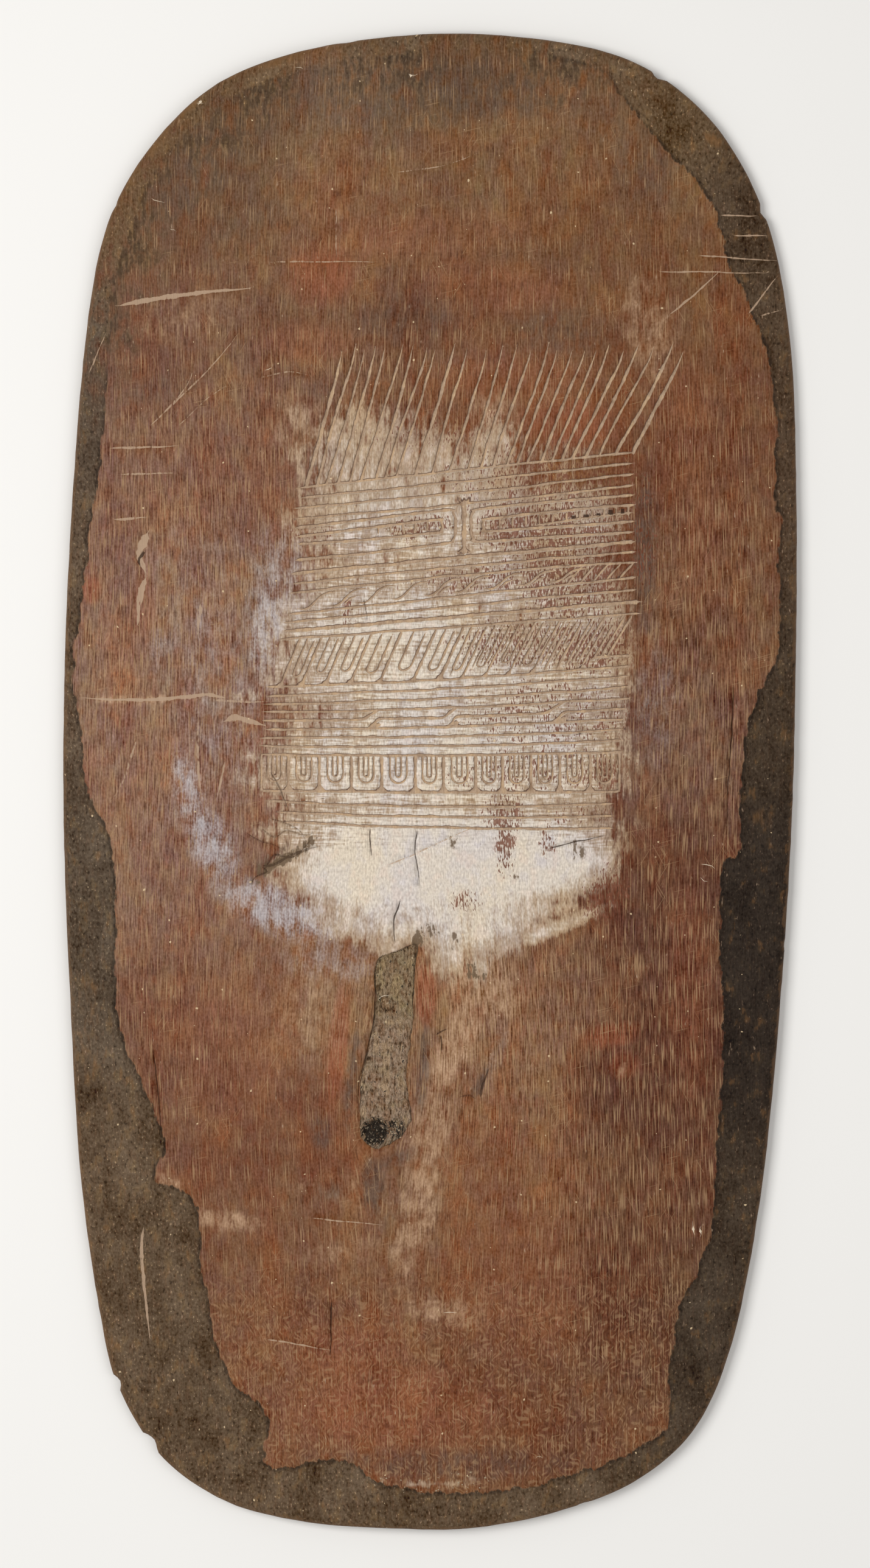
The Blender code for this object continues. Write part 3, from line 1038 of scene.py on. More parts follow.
@dataclass(frozen=True)
class Wear:
    """What use has left on the front, in runs of one kind: each mark's width, strength and places."""

    marks: tuple[tuple[Mark, tuple[tuple[float | Place, ...], ...]], ...] = (
        (Mark.SCRATCH, (
            (4.2, 1.0, (-228, 350), (-190, 356), (-133, 362)), (2.2, 0.7, (-235, 244.5), (-186, 246.3)),
            (2.0, 0.6, (-227, 225), (-188, 226.6)), (2.4, 0.7, (-232, 192), (-208, 193.7)),
            (1.4, 0.6, (-117, 381), (-35, 381)), (1.3, 0.5, (-69, 420), (-69, 386)),
            (1.6, 0.8, (214, 416), (240, 416)), (1.6, 0.8, (224, 401), (248, 401)),
            (1.5, 0.8, (198, 386), (256, 383)), (1.5, 0.8, (169, 374), (247, 374)),
            (1.8, 0.8, (176, 343), (196, 359), (213, 375)), (1.6, 0.7, (234, 344), (256, 372)),
            (1.5, 0.6, (244, 342), (258, 346)), (1.6, 0.6, (-205, 262), (-160, 305), (-140, 330)),
            (3.2, 0.9, (-211, -328), (-211.5, -350), (-206, -408)), (1.5, 0.7, (-119, -409), (-73, -417)),
            (7.0, 0.9, (-207, 182), (-213, 168), (-209, 153)),
            (5.5, 0.8, (-208, 149), (-212, 138), (-215, 115)), (4.0, 0.6, (-169, 130), (-170, 110)),
            (3.4, 1.0, (-150, 61), (-164, 64), (-175, 62.7), (-204, 60), (-238, 60), (-254, 61.3)),
            (2.2, 0.6, (-160, 60), (-138, 58), (-118, 59)),
            (5.6, 0.9, (-150, 44.3), (-143.5, 47.2), (-136.8, 45.4), (-122, 40.9)),
            (2.6, 0.6, (-170, 42), (-170, 10), (-168, -12)), (2.2, 0.6, (-150, 14), (-156, -12)),
            (2.4, 0.5, (-216, 30), (-226, 0), (-234, -14)),
        )),
        (Mark.CRACK, (
            (2.6, 0.55, (-80.7, -48), (-94, -51.5), (-105, -56), (-114.3, -60.4), (-123.5, -61.7),
             (-119, -66), (-128, -70.6), (-131, -78)),
            (1.9, 0.55, (-121, -64), (-114.5, -53.7), (-100.7, -54.6), (-87.4, -42.6)),
            (1.3, 0.5, (-134.6, -37.7), (-125.7, -42.6), (-114.3, -47), (-105, -51.5)),
            (1.4, 0.5, (-123.5, -34.5), (-114.3, -40.2), (-105, -35.7), (-91.8, -39), (-85, -36.8)),
            (1.3, 0.5, (-116.6, -26.5), (-105, -31), (-96.3, -35.7), (-91.8, -42.6)),
            (1.6, 0.55, (-116.6, 7.1), (-111, -4.2), (-107.4, -11.8), (-104.3, -19.8)),
        )),
        (Mark.SCRATCH, (
            (1.3, 0.5, (-32, -62), (40, -30)), (1.3, 0.5, (-250, 300), (-238, 330)),
        )),
        (Mark.CRACK, (
            (3.2, 0.9, (-209, 168), (-214, 163), (-213, 158)),
            (1.1, 0.6, (-41, -136), (-40.5, -160), (-42.5, -178), (-47, -200), (-51.6, -219),
             (-52.4, -246)),
            (1.0, 0.45, (-9.5, -121), (-11.3, -140), (-12.4, -168)),
            (1.3, 0.5, (-35.5, -161), (-35, -166), (-31, -168), (-27, -165), (-27, -160)),
            (1.6, 0.6, (4, -185), (8, -182.5), (12.5, -180.5)),
            (1.8, 0.6, (7, -186), (8.5, -192), (9, -198)),
            (2.6, 0.6, (36, -231), (38.5, -222), (43, -210)),
            (1.8, 0.5, (22, -231), (29, -229.5), (34, -232)),
        )),
        (Mark.DAUB, (
            (2.6, 0.7, (-31.8, -162.8), (-30.6, -162.2)),
            (1.4, 0.5, (-38, -159.5), (-34, -157), (-30, -157)),
        )),
        (Mark.SCRATCH, (
            (1.4, 0.6, (-86, -320), (-60, -322.5), (-36, -325)),
            (1.3, 0.5, (-196, 270), (-178, 292), (-172, 306)),
            (1.2, 0.5, (-184, 262), (-160, 284), (-146, 292)),
            (1.3, 0.45, (-24, 446), (10, 452), (38, 462)),
            (1.4, 0.45, (-124, 296), (-104, 300), (-88, 298)),
        )),
        (Mark.CRACK, (
            (1.1, 0.7, (-8.5, -36), (-10.7, -51.5), (-8.5, -63.5), (-8, -77)),
            (4.2, 0.75, (-78.8, -12), (-77.6, -12.2)), (4.0, 0.6, (-106.6, -18), (-105.4, -18.2)),
            (4.6, 0.7, (107.6, 34), (112.0, 34.4)), (1.2, 0.8, (-45, -34.5), (-43.7, -54.6)),
            (1.3, 0.9, (-21.8, -86.7), (-25.9, -100.5), (-25.9, -118)),
            (1.2, 0.7, (87, -48), (129, -39.5)), (1.1, 0.5, (-47.7, 134), (-45.9, 118)),
            (1.3, 0.7, (-72.6, -381), (-72.6, -421)), (1.2, 0.6, (-204, -196), (-196, -262)),
            (1.2, 0.6, (223, 70), (217, -40)),
        )),
        (Mark.DAUB, (
            (3.4, 1.0, (-203, 427), (-199, 426)), (3.0, 0.9, (-119, 302), (-117, 303)),
            (2.6, 0.9, (-97, 524), (-95, 524)), (2.2, 0.8, (-13, 518), (-11, 518)),
            (2.2, 0.8, (-170, 498), (-168, 498)), (2.0, 0.8, (-190, 405), (-188, 405)),
            (4.6, 1.0, (203, -61), (207, -62)), (3.6, 0.9, (200, -72), (201, -73)),
            (2.2, 0.8, (79, -495), (81, -495)), (3.4, 0.7, (13, -389), (16, -389)),
            (2.4, 0.9, (193, -326), (193.5, -331)), (2.2, 0.9, (198, -328), (199, -332)),
        )),
    )
    station_gap: float = 3.0
    daub_tapers: Place = (0.5, 0.5)
    cut_tapers: Place = (0.12, 0.6)
    floor: float = 0.6
    FIRST_SEED = 80

    def strokes(self) -> Iterator[Stroke]:
        """All of the marks, each strayed by its own number in the list.

        Returns:
            A stroke for each mark, in their order.
        """
        rows = [(mark, *row) for mark, run in self.marks for row in run]
        for i, (mark, width, strength, *places) in enumerate(rows):
            path = hand_path(places, min(self.station_gap, width), mark.shake, self.FIRST_SEED + i)
            run = along(path)[-1]
            start, end = self.daub_tapers if mark is Mark.DAUB else self.cut_tapers
            yield Stroke(
                path, width=width, depth=mark.depth, tapers=(run * start, run * end),
                floor=self.floor, mark=mark, strength=strength)


class Stain(Enum):
    """What lies on the wood or shows in it, which is also the name of the attribute that it leaves."""

    LIME = "lime"
    BARE = "bare"
    DIRT = "dirt"
    # painted sheen: this stain stands partly for the light's reflection on polished wood, partly for milky
    # old polish
    BLOOM = "bloom"
    OPEN = "open"
    SMOKE = "smoke"
    RUST = "rust"
    TAN = "tan"
    OCHRE = "ochre"


@dataclass(frozen=True)
class Spot:
    """A soft patch of a stain: its middle, its half sizes, how dense it is and how it leans."""

    x: float
    y: float
    half_width: float
    half_height: float
    density: float = 1.0
    lean: float = 0.0
    EDGE = 0.6

    def cover(self, points: Path) -> np.ndarray:
        """How much of it lies on each point.

        Args:
            points: the places, in rows.

        Returns:
            From 0 to its density at each.
        """
        turn = math.radians(self.lean)
        x, y = (points - (self.x, self.y)).T
        across = (x * math.cos(turn) + y * math.sin(turn)) / self.half_width
        up = (y * math.cos(turn) - x * math.sin(turn)) / self.half_height
        return self.density * (1 - smooth(np.hypot(across, up), 1 - self.EDGE, 1 + self.EDGE))


@dataclass(frozen=True)
class Stains:
    """Every stain on the front, spot by spot, and the broad tones of its wood and its border.

    A spot's row holds its middle, its half sizes, its density and its lean. A tone's row holds
    its place and its colour.
    """

    spots: tuple[tuple[Stain, tuple[tuple[float, ...], ...]], ...] = (
        (Stain.LIME, (
            (-40, -64, 62, 32, 1.5), (24, -62, 80, 32, 1.6), (80, -56, 50, 28, 1.5),
            (6, -34, 112, 16, 1.3), (-20, -96, 52, 24, 1.05), (34, -98, 44, 26, 1.15),
            (14, -122, 14, 22, 0.85), (36, -126, 8, 24, 0.8), (-30, -118, 12, 14, 0.7),
            (-66, -104, 28, 10, 0.75, -16), (92, -107, 40, 5, 0.9, 22), (80, -94, 30, 7, 0.8, 10),
            (-24, 10, 90, 40, 1.2), (60, 16, 74, 46, 1.08), (-30, 100, 80, 66, 1.05),
            (-30, 112, 50, 14, 1.2), (24, 70, 74, 60, 1.05), (-24, 190, 70, 38, 0.9),
            (40, 188, 60, 38, 0.85), (60, 142, 46, 24, 0.9), (104, 80, 40, 110, 0.88),
            (104, 190, 36, 28, 0.8), (-62, 246, 14, 30, 0.66, -12), (-44, 240, 18, 32, 0.6, -14),
            (-34, 232, 60, 38, 0.58), (4, 240, 14, 22, 0.6, -20), (44, 240, 18, 26, 0.72, -24),
            (26, 228, 30, 14, 0.75), (80, 232, 46, 16, 0.35, 6), (-96, 250, 16, 36, 0.22),
            (-132, 62, 16, 4, 0.5), (-20, -514, 26, 2.4, 0.42, -5), (18, -514, 26, 2.4, 0.42, 5),
        )),
        (Stain.DIRT, (
            (-119, -63, 9, 4, 0.9, 30), (-103, -55, 14, 3.4, 0.8, 20), (-88, -44, 7, 3.4, 0.7, 34),
            (-126, -72, 5, 5, 0.7, 30), (16, -44, 8, 6, 0.45), (-8, -116, 5, 9, 0.9, -24),
            (1, -108, 8, 4, 0.7, -30), (64, -70, 4, 4, 0.5), (108, -50, 8, 10, 0.5), (18, -116, 3, 8, 0.6),
            (38, -144, 4, 3, 0.9), (30, -138, 3, 8, 0.9),
        )),
        (Stain.BARE, (
            (-6, 186, 26, 9, 1.0, 6), (-86, 182, 22, 7, 0.6, 6), (72, 186, 40, 16, 1.1, 6),
            (100, 206, 70, 40, 0.8, 6), (110, 162, 60, 30, 1.0, 6), (50, 150, 70, 12, 0.75, 6),
            (104, 138, 40, 24, 0.95, 6), (60, 100, 44, 20, 0.85), (116, 100, 34, 20, 1.1),
            (-60, 124, 5, 16, 0.9), (90, 50, 70, 26, 0.75), (90, 10, 60, 18, 0.75), (40, 6, 40, 14, 0.6),
            (128, 6, 10, 12, 1.1), (55, -22, 16, 18, 1.0), (108, -24, 30, 12, 0.55), (55, -46, 7, 22, 1.2),
            (86, -44, 6, 12, 0.9), (26, -88, 12, 8, 0.9), (128, -84, 16, 22, 1.0, -20),
            (60, 232, 60, 16, 0.6, 10), (10, 258, 60, 14, 0.5, 8),
        )),
        # painted sheen: pale haze where the polished wood reflects the light, mixed with milky old polish
        (Stain.BLOOM, (
            (-120, 112, 13, 34, 0.85, -8), (-112, 130, 28, 50, 0.5), (-104, 156, 30, 36, 0.5),
            (-88, 84, 34, 60, 0.4), (-177, -8, 12, 34, 0.85, 14), (-190, -22, 20, 16, 0.3),
            (-160, -46, 16, 28, 1.0, 24), (-196, 104, 12, 30, 0.4, -14), (-166, 118, 12, 26, 0.4, 10),
            (-112, -94, 46, 17, 1.0, -24), (-150, 60, 44, 90, 0.4, 6), (-175, 160, 50, 40, 0.28),
            (-150, 262, 50, 18, 0.16, -8), (-70, -132, 40, 16, 0.5, -6), (166, 60, 20, 60, 0.32),
            (48, -200, 8, 26, 0.3, -18), (-230, 40, 20, 60, 0.2),
        )),
        (Stain.OPEN, (
            (150, -240, 70, 190, 1.0), (200, 60, 50, 200, 0.8), (-190, 100, 90, 180, 0.7),
            (40, -170, 90, 80, 0.9), (-190, -160, 50, 120, 0.4), (-80, 280, 120, 60, 0.4),
        )),
        (Stain.SMOKE, (
            (-30, 506, 160, 30, 0.7), (-170, 452, 70, 30, 0.6, 42), (150, 462, 50, 30, 0.5, -48),
            (-14, 470, 22, 14, 0.5), (-130, 416, 40, 18, 0.4, 20), (-18, 340, 50, 20, 0.5, 6),
            (64, 346, 44, 20, 0.2), (96, 330, 40, 24, 0.55, -10), (157, 168, 9, 60, 0.85),
            (152, 40, 12, 50, 0.4), (-110, -56, 30, 8, 1.1, 34), (-92, -38, 26, 6, 0.8, -14),
            (-5, -208, 5, 34, 1.0, -4), (-57, -216, 4, 42, 0.9, -6), (36, -222, 4, 16, 0.8, -24),
            (-42, -296, 8, 20, 1.2), (-80, -256, 8, 14, 0.8), (-74, -300, 14, 8, 0.6),
            (-22, -276, 16, 6, 0.8, 30), (-36, -322, 10, 14, 0.35, 10), (8, -500, 120, 12, 0.6),
            (-80, 286, 16, 8, 0.5), (-196, 288, 34, 12, 0.5, 12), (30, -34, 18, 12, 0.5),
        )),
        (Stain.RUST, (
            (-80, 372, 26, 24, 0.9), (46, 362, 66, 22, 0.6, -4), (0, 400, 90, 20, 0.5, 4),
            (-90, 322, 40, 16, 0.6), (60, 296, 70, 18, 0.5), (104, 262, 40, 20, 0.8),
            (200, 170, 20, 60, 0.5), (186, 260, 26, 60, 0.5), (-3, -156, 7, 22, 1.4),
            (-68, -196, 7, 50, 1.1, -6), (132, -186, 22, 9, 1.2, 10), (142, -208, 12, 10, 1.0),
            (-250, 142, 8, 11, 1.2), (-165, 445, 3, 10, 1.0), (-20, -460, 90, 34, 0.7),
            (-60, -418, 50, 24, 0.6), (70, -380, 60, 60, 0.5), (190, -150, 18, 90, 0.6),
            (-150, -190, 50, 60, 0.5), (4, 466, 30, 14, 0.5), (-210, 130, 10, 30, 0.6),
        )),
        (Stain.TAN, (
            (40, -150, 28, 22, 1.1, -40), (18, -194, 13, 44, 1.05, -28), (-2, -256, 16, 42, 0.82, -16),
            (-10, -318, 15, 46, 0.85, -12), (-60, -300, 50, 12, 0.42, -6), (-60, -344, 44, 9, 0.5, 6),
            (-194, -298, 12, 10, 1.0, -20), (-150, -322, 28, 7, 0.9, -6), (12, -388, 30, 10, 0.8, -10),
            (-88, -170, 26, 40, 0.5), (-96, 262, 22, 24, 0.6), (142, -211, 2.6, 7, 0.9, -25),
            (-218, 60.5, 30, 3.4, 1.0), (46, 270, 18, 12, 0.9), (-180, 340, 50, 20, 0.4, 8),
            (160, 334, 20, 40, 0.6, 10),
        )),
        (Stain.OCHRE, (
            (-110, 532, 60, 8, 1.0, 14), (-196, 478, 8, 60, 0.8, -36), (210, 471, 9, 4, 0.9, -30),
            (-240, -420, 12, 24, 0.5), (243, -26, 10, 6, 0.5), (-250, -180, 10, 60, 0.35),
        )),
    )
    wood: tuple[tuple[float, float, str], ...] = (
        (-4, 500, "6d543c"), (-60, 498, "8a7058"), (112, 414, "76573f"), (-130, 480, "6e553e"),
        (-180, 420, "70543e"), (-50, 430, "835d44"), (90, 440, "826248"), (0, 360, "725340"),
        (150, 360, "77533a"), (-190, 330, "775543"), (-183, 216, "815f4f"), (-200, 90, "8a6a5b"),
        (-130, 130, "866657"), (196, 261, "754f39"), (200, 130, "77543f"), (168, 40, "7a5a4d"),
        (0, 120, "80573f"), (60, 280, "80563d"), (180, -80, "634030"), (150, -220, "5e3827"),
        (-160, -60, "876658"), (-170, -200, "755241"), (-108, -262, "774d37"), (-90, -160, "8c6a52"),
        (60, -190, "8c6a54"), (-31, -310, "7e5f4a"), (60, -300, "875c41"), (-60, -430, "815841"),
        (60, -440, "744f39"), (150, -360, "664330"), (-140, -340, "7a5641"), (-70, -340, "7c563f"),
    )
    border: tuple[tuple[float, float, str], ...] = (
        (-258, 127, "5b4a3c"), (-240, 290, "53453a"), (-227, -318, "5a4838"), (-4, -532, "5c4a3a"),
        (249, -96, "2d231c"), (252, -186, "2a2019"), (240, 70, "433529"), (-248, -110, "534539"),
        (222, 425, "4b3b2e"), (180, 472, "644f3a"), (258, 200, "4e3c2e"), (218, -340, "403328"),
        (-200, 440, "654e37"), (60, 540, "5d4a39"),
    )
    blend: float = 48.0
    OVERLAP = 4

    def cover(self, stain: Stain, points: Path) -> np.ndarray:
        """How much of a stain lies on each point, where its densest spot counts most."""
        covers = [Spot(*row).cover(points) for row in dict(self.spots)[stain]]
        return np.linalg.norm(covers, ord=self.OVERLAP, axis=0)

    def tones(self, anchors: tuple[tuple[float, float, str], ...], points: Path) -> np.ndarray:
        """The broad tone at each point, blended from the tones of a few places.

        Args:
            anchors: each place and its colour.
            points: the points, in rows.

        Returns:
            A linear colour for each point.
        """
        total, weights = np.zeros((len(points), 3)), np.zeros(len(points))
        for x, y, colour in anchors:
            near = 1 / (((points - (x, y)) ** 2).sum(axis=1) + self.blend**2) ** 2
            total += near[:, None] * np.array(linear(colour)[:3])
            weights += near
        return total / weights[:, None]


# The board's mesh


class Sheet:
    """One side of the board as it is laid out: its points and the lines that its faces follow."""

    MERGE = 0.02
    INSIDE_ONLY = 1

    def __init__(self, rim: Path) -> None:
        """Starts with the rim as a closed line.

        Args:
            rim: the rim's stations.
        """
        self.laid: list[Path] = []
        self.edges: list[tuple[int, int]] = []
        self.count = 0
        self.rim_count = len(rim)
        self.add_line(rim, closed=True)

    def add_points(self, points: Path) -> int:
        """Lays points and says where the first one went.

        Args:
            points: where they lie.

        Returns:
            The first one's number.
        """
        start = self.count
        self.laid.append(points)
        self.count += len(points)
        return start

    def add_line(self, path: Path, closed: bool = False) -> None:
        """Lays a line that the faces keep to.

        Args:
            path: its stations.
            closed: whether it comes round to its start.
        """
        start, count = self.add_points(path), len(path)
        last = count if closed else count - 1
        self.edges += [(start + i, start + (i + 1) % count) for i in range(last)]

    def add_grid(self, spacing: float, clear: float, wanted: Callable[[Path], np.ndarray]) -> None:
        """Lays loose points between the lines.

        Args:
            spacing: how far apart they are.
            clear: how far they keep from what is laid already.
            wanted: says which of them to lay.
        """
        laid = np.concatenate(self.laid)
        tree = kdtree.KDTree(len(laid))
        for i, (x, y) in enumerate(laid):
            tree.insert((x, y, 0.0), i)
        tree.balance()
        (left, low), (right, high) = laid.min(axis=0), laid.max(axis=0)
        rows = np.arange(low, high, spacing * math.sqrt(0.75))
        x, y = np.meshgrid(np.arange(left, right, spacing), rows)
        x[1::2] += spacing / 2
        places = np.stack([x.ravel(), y.ravel()], axis=1)
        places = places[wanted(places)]
        free = [tree.find((x, y, 0.0))[2] > clear for x, y in places]
        self.add_points(places[free])

    def faces(self) -> tuple[Path, np.ndarray, np.ndarray]:
        """Triangulates what is laid.

        Returns:
            The points, the triangles counter-clockwise from above, and where the rim's points went.
        """
        flat = [Vector((float(x), float(y))) for x, y in np.concatenate(self.laid)]
        rim = list(range(self.rim_count))
        made = delaunay_2d_cdt(flat, self.edges, [rim], self.INSIDE_ONLY, self.MERGE)
        points, faces = np.array([tuple(p) for p in made[0]]), np.array(made[2])
        place = {old: new for new, sources in enumerate(made[3]) for old in sources}
        a, b, c = (points[faces[:, k]] for k in range(3))
        down = np.cross(b - a, c - a) < 0
        faces[down] = faces[down][:, ::-1]
        return points, faces, np.array([place[i] for i in rim])


@dataclass(frozen=True)
class Grain:
    """The wood's straight grain, which bends round the knot."""

    axis: float = -32.0
    axis_lean: float = 0.09
    axis_height: float = -195.0
    knot_height: float = -200.0
    reach: Place = (70.0, 110.0)
    widest: float = 17.0
    sway: float = 2.5
    sway_lengths: Place = (60.0, 95.0)

    def at(self, points: Path, heights: np.ndarray) -> np.ndarray:
        """Where each point lies in the grain as it grew before it bent.

        Args:
            points: the points, in rows.
            heights: their heights.

        Returns:
            For each point, its place across and along the grain, and its height.
        """
        x, y = points.T
        off = x - (self.axis + self.axis_lean * (y - self.axis_height))
        across, along_board = self.reach
        bulge = np.exp(-(((y - self.knot_height) / along_board) ** 2)) * np.exp(-np.abs(off) / across)
        straight = x - np.sign(off) * np.minimum(np.abs(off), self.widest) * bulge
        short, long = self.sway_lengths
        straight = straight + self.sway * np.sin(y / long + x / short)
        return np.stack([straight, y, heights], axis=1)


@dataclass
class Board:
    """The whole board: its shape, its carving, its wear, and the mesh that carries them."""

    low: Vector
    high: Vector
    crown_clearance: float = 0.3
    side_fall: float = 9.0
    end_fall: float = 5.0
    rim_round: float = 5.0
    rim_rings: tuple[float, ...] = (0.4, 1.3, 2.6, 5.0)
    back_lift: float = 4.0
    back_lift_width: float = 35.0
    back_rings: tuple[float, ...] = (1.5, 5.0, 12.0, 22.0, 35.0)
    front_grid: Place = (5.0, 2.4)
    panel_grid: Place = (2.6, 1.3)
    panel: tuple[Place, Place] = ((-132.0, -45.0), (190.0, 325.0))
    knot_grid: Place = (1.4, 0.8)
    back_grid: Place = (8.0, 5.0)
    wall_lean: Place = (0.6, 0.8)
    box_inset: float = 0.1
    knot_lip: Place = (-0.6, 1.2)
    flecks_begin: Place = (330.0, 400.0)
    crust_place: Place = (2.0, -514.0)
    crust_size: Place = (46.0, 7.0)
    crust_crumbs: float = 0.5
    pit_crumbs: float = 0.8
    middle: RaisedMiddle = field(default_factory=RaisedMiddle)
    knot: KnotScar = field(default_factory=KnotScar)
    carving: Carving = field(default_factory=Carving)
    wear: Wear = field(default_factory=Wear)
    stains: Stains = field(default_factory=Stains)

    def __post_init__(self) -> None:
        """Works out the outline and every stroke once."""
        low = tuple(v / MM + self.box_inset for v in self.low[:2])
        high = tuple(v / MM - self.box_inset for v in self.high[:2])
        self.rim, self.inward = Outline(low, high).loop()
        self.step_edge, self.scar = self.middle.loop(), self.knot.loop()
        self.strokes = [*self.carving.strokes(), *self.wear.strokes()]

    def crown(self, points: Path) -> np.ndarray:
        """The height of the smooth front at each point, before the rim is rounded.

        Args:
            points: where to measure.

        Returns:
            One height for each.
        """
        half = (np.array(self.high)[:2] - np.array(self.low)[:2]) / 2 / MM
        x, y = (points / half).T
        top = (self.high.z - self.low.z) / MM - self.crown_clearance
        return top - self.side_fall * x**2 - self.end_fall * y**2

    def front_sheet(self) -> Sheet:
        """The front laid out, with every line that its relief needs.

        Returns:
            A sheet, ready to be filled with faces.
        """
        sheet = Sheet(self.rim)
        for inset in self.rim_rings:
            sheet.add_line(self.rim + self.inward * inset, closed=True)
        edge = normals(self.step_edge, closed=True) * self.middle.step_width / 2
        for side in (-1, 1):
            sheet.add_line(self.step_edge + edge * side, closed=True)
        bank = -normals(self.scar, closed=True) * self.knot.bank
        for share in (0.0, 0.5, 1.0):
            sheet.add_line(self.scar + bank * share, closed=True)
        for stroke in self.strokes:
            for line in stroke.lines():
                sheet.add_line(line)
        low, high = self.panel
        sheet.add_grid(*self.knot_grid, lambda p: inside(p, self.scar))
        sheet.add_grid(*self.panel_grid, lambda p: ((p > low) & (p < high)).all(axis=1))
        sheet.add_grid(*self.front_grid, lambda p: inside(p, self.rim))
        return sheet

    def front(self, points: Path) -> tuple[np.ndarray, dict[str, np.ndarray]]:
        """The front's heights and what it carries.

        Args:
            points: the front's points.

        Returns:
            The height of each point, and each attribute's values by its name.
        """
        levels = {mark.value: np.zeros(len(points)) for mark in Mark}
        rim = depth_in(points, self.rim)
        border = -depth_in(points, self.step_edge)
        scar = depth_in(points, self.scar)
        height = self.crown(points)
        inset = np.clip(rim, 0.0, self.rim_round)
        height -= self.rim_round - np.sqrt(self.rim_round**2 - (self.rim_round - inset) ** 2)
        fading = self.middle.fading(points)
        half = self.middle.step_width / 2
        height -= self.middle.step * smooth(border, -half, half) * (1 - fading)
        height -= self.knot.depth * smooth(scar, 0.0, self.knot.bank)
        pit = self.knot.pit_share(points)
        height -= self.knot.pit_depth * pit
        cut = np.zeros(len(points))
        for stroke in self.strokes:
            near, share, deep = stroke.press(points)
            level = levels[stroke.mark.value]
            level[near] = np.maximum(level[near], share)
            cut[near] = np.where(np.abs(deep) > np.abs(cut[near]), deep, cut[near])
        levels |= {stain.value: self.stains.cover(stain, points) for stain in Stain}
        levels |= {
            "front": np.ones(len(points)), "rim": rim, "border": border, "fading": fading,
            "knot": smooth(scar, *self.knot_lip), "pit": pit,
            "fleck": smooth(-points[:, 1], *self.flecks_begin),
        }
        crust = np.hypot(*((points - self.crust_place) / self.crust_size).T) < 1
        bank = pit * (pit < self.knot.PIT_BED)
        levels["crumbs"] = np.maximum(bank * self.pit_crumbs, crust * self.crust_crumbs)
        return height - cut, levels

    def back(self, points: Path) -> tuple[np.ndarray, dict[str, np.ndarray]]:
        """The back's heights and what it carries, as for the front.

        Args:
            points: where to measure.

        Returns:
            The heights, and one array for each level.
        """
        rim = depth_in(points, self.rim)
        inset = np.clip(rim, 0.0, self.back_lift_width)
        height = self.back_lift * (1 - inset / self.back_lift_width) ** 2
        return height, {"rim": rim, "border": np.full(len(points), self.back_lift_width)}

    def build(self, finishes: dict[str, bpy.types.Material]) -> bpy.types.Object:
        """Makes the board's object.

        Args:
            finishes: the finish of its front, of its back and of the crumbs that stick to it.

        Returns:
            The board, weathered.
        """
        top, top_faces, top_rim = self.front_sheet().faces()
        back = Sheet(self.rim)
        for inset in self.back_rings:
            back.add_line(self.rim + self.inward * inset, closed=True)
        back.add_grid(*self.back_grid, lambda p: inside(p, self.rim))
        under, under_faces, under_rim = back.faces()
        start = len(top)
        following = np.roll(np.arange(len(self.rim)), -1)
        a, b = top_rim, top_rim[following]
        c, d = under_rim[following] + start, under_rim + start
        walls = [np.stack([a, b, c], axis=1), np.stack([a, c, d], axis=1)]
        faces = np.concatenate([top_faces, under_faces[:, ::-1] + start, *walls])
        heights, levels = self.front(top)
        under_heights, under_levels = self.back(under)
        places, heights = np.concatenate([top, under]), np.concatenate([heights, under_heights])
        mesh = bpy.data.meshes.new("board")
        corners = np.column_stack([places, heights]) * MM + (0, 0, self.low.z)
        mesh.from_pydata(corners, [], faces.tolist())
        mesh.validate()
        mesh.shade_smooth()
        blank = np.zeros(len(under))
        for name, values in levels.items():
            joined = np.concatenate([values, under_levels.get(name, blank)])
            mesh.attributes.new(name, "FLOAT", "POINT").data.foreach_set("value", joined)
        lean = heights[:, None] * self.wall_lean
        vectors = {
            "place": np.column_stack([places + lean, heights]),
            "grain": Grain().at(places, heights) + np.column_stack([lean, 0 * heights]),
            "tone": self.stains.tones(self.stains.wood, places),
            "soot": self.stains.tones(self.stains.border, places),
        }
        for name, values in vectors.items():
            data = mesh.attributes.new(name, "FLOAT_VECTOR", "POINT").data
            data.foreach_set("vector", np.ascontiguousarray(values, dtype=float).ravel())
        board = bpy.data.objects.new("carved_board", mesh)
        bpy.context.scene.collection.objects.link(board)
        return Weathering().apply(board, finishes)


# Node trees


Signal = bpy.types.NodeSocket | float | tuple[float, ...] | bpy.types.Material | str | int
Inputs = dict[int | str, Signal | list[Signal]] | Sequence[Signal | list[Signal]]


MATH = "ShaderNodeMath"
VECTOR = "ShaderNodeVectorMath"
MIX = "ShaderNodeMix"
SHARE, VALUE_A, VALUE_B, COLOUR_A, COLOUR_B = 0, 2, 3, 6, 7
OF_COLOURS = {"out": 2, "data_type": "RGBA"}
SET_MATERIAL = "GeometryNodeSetMaterial"


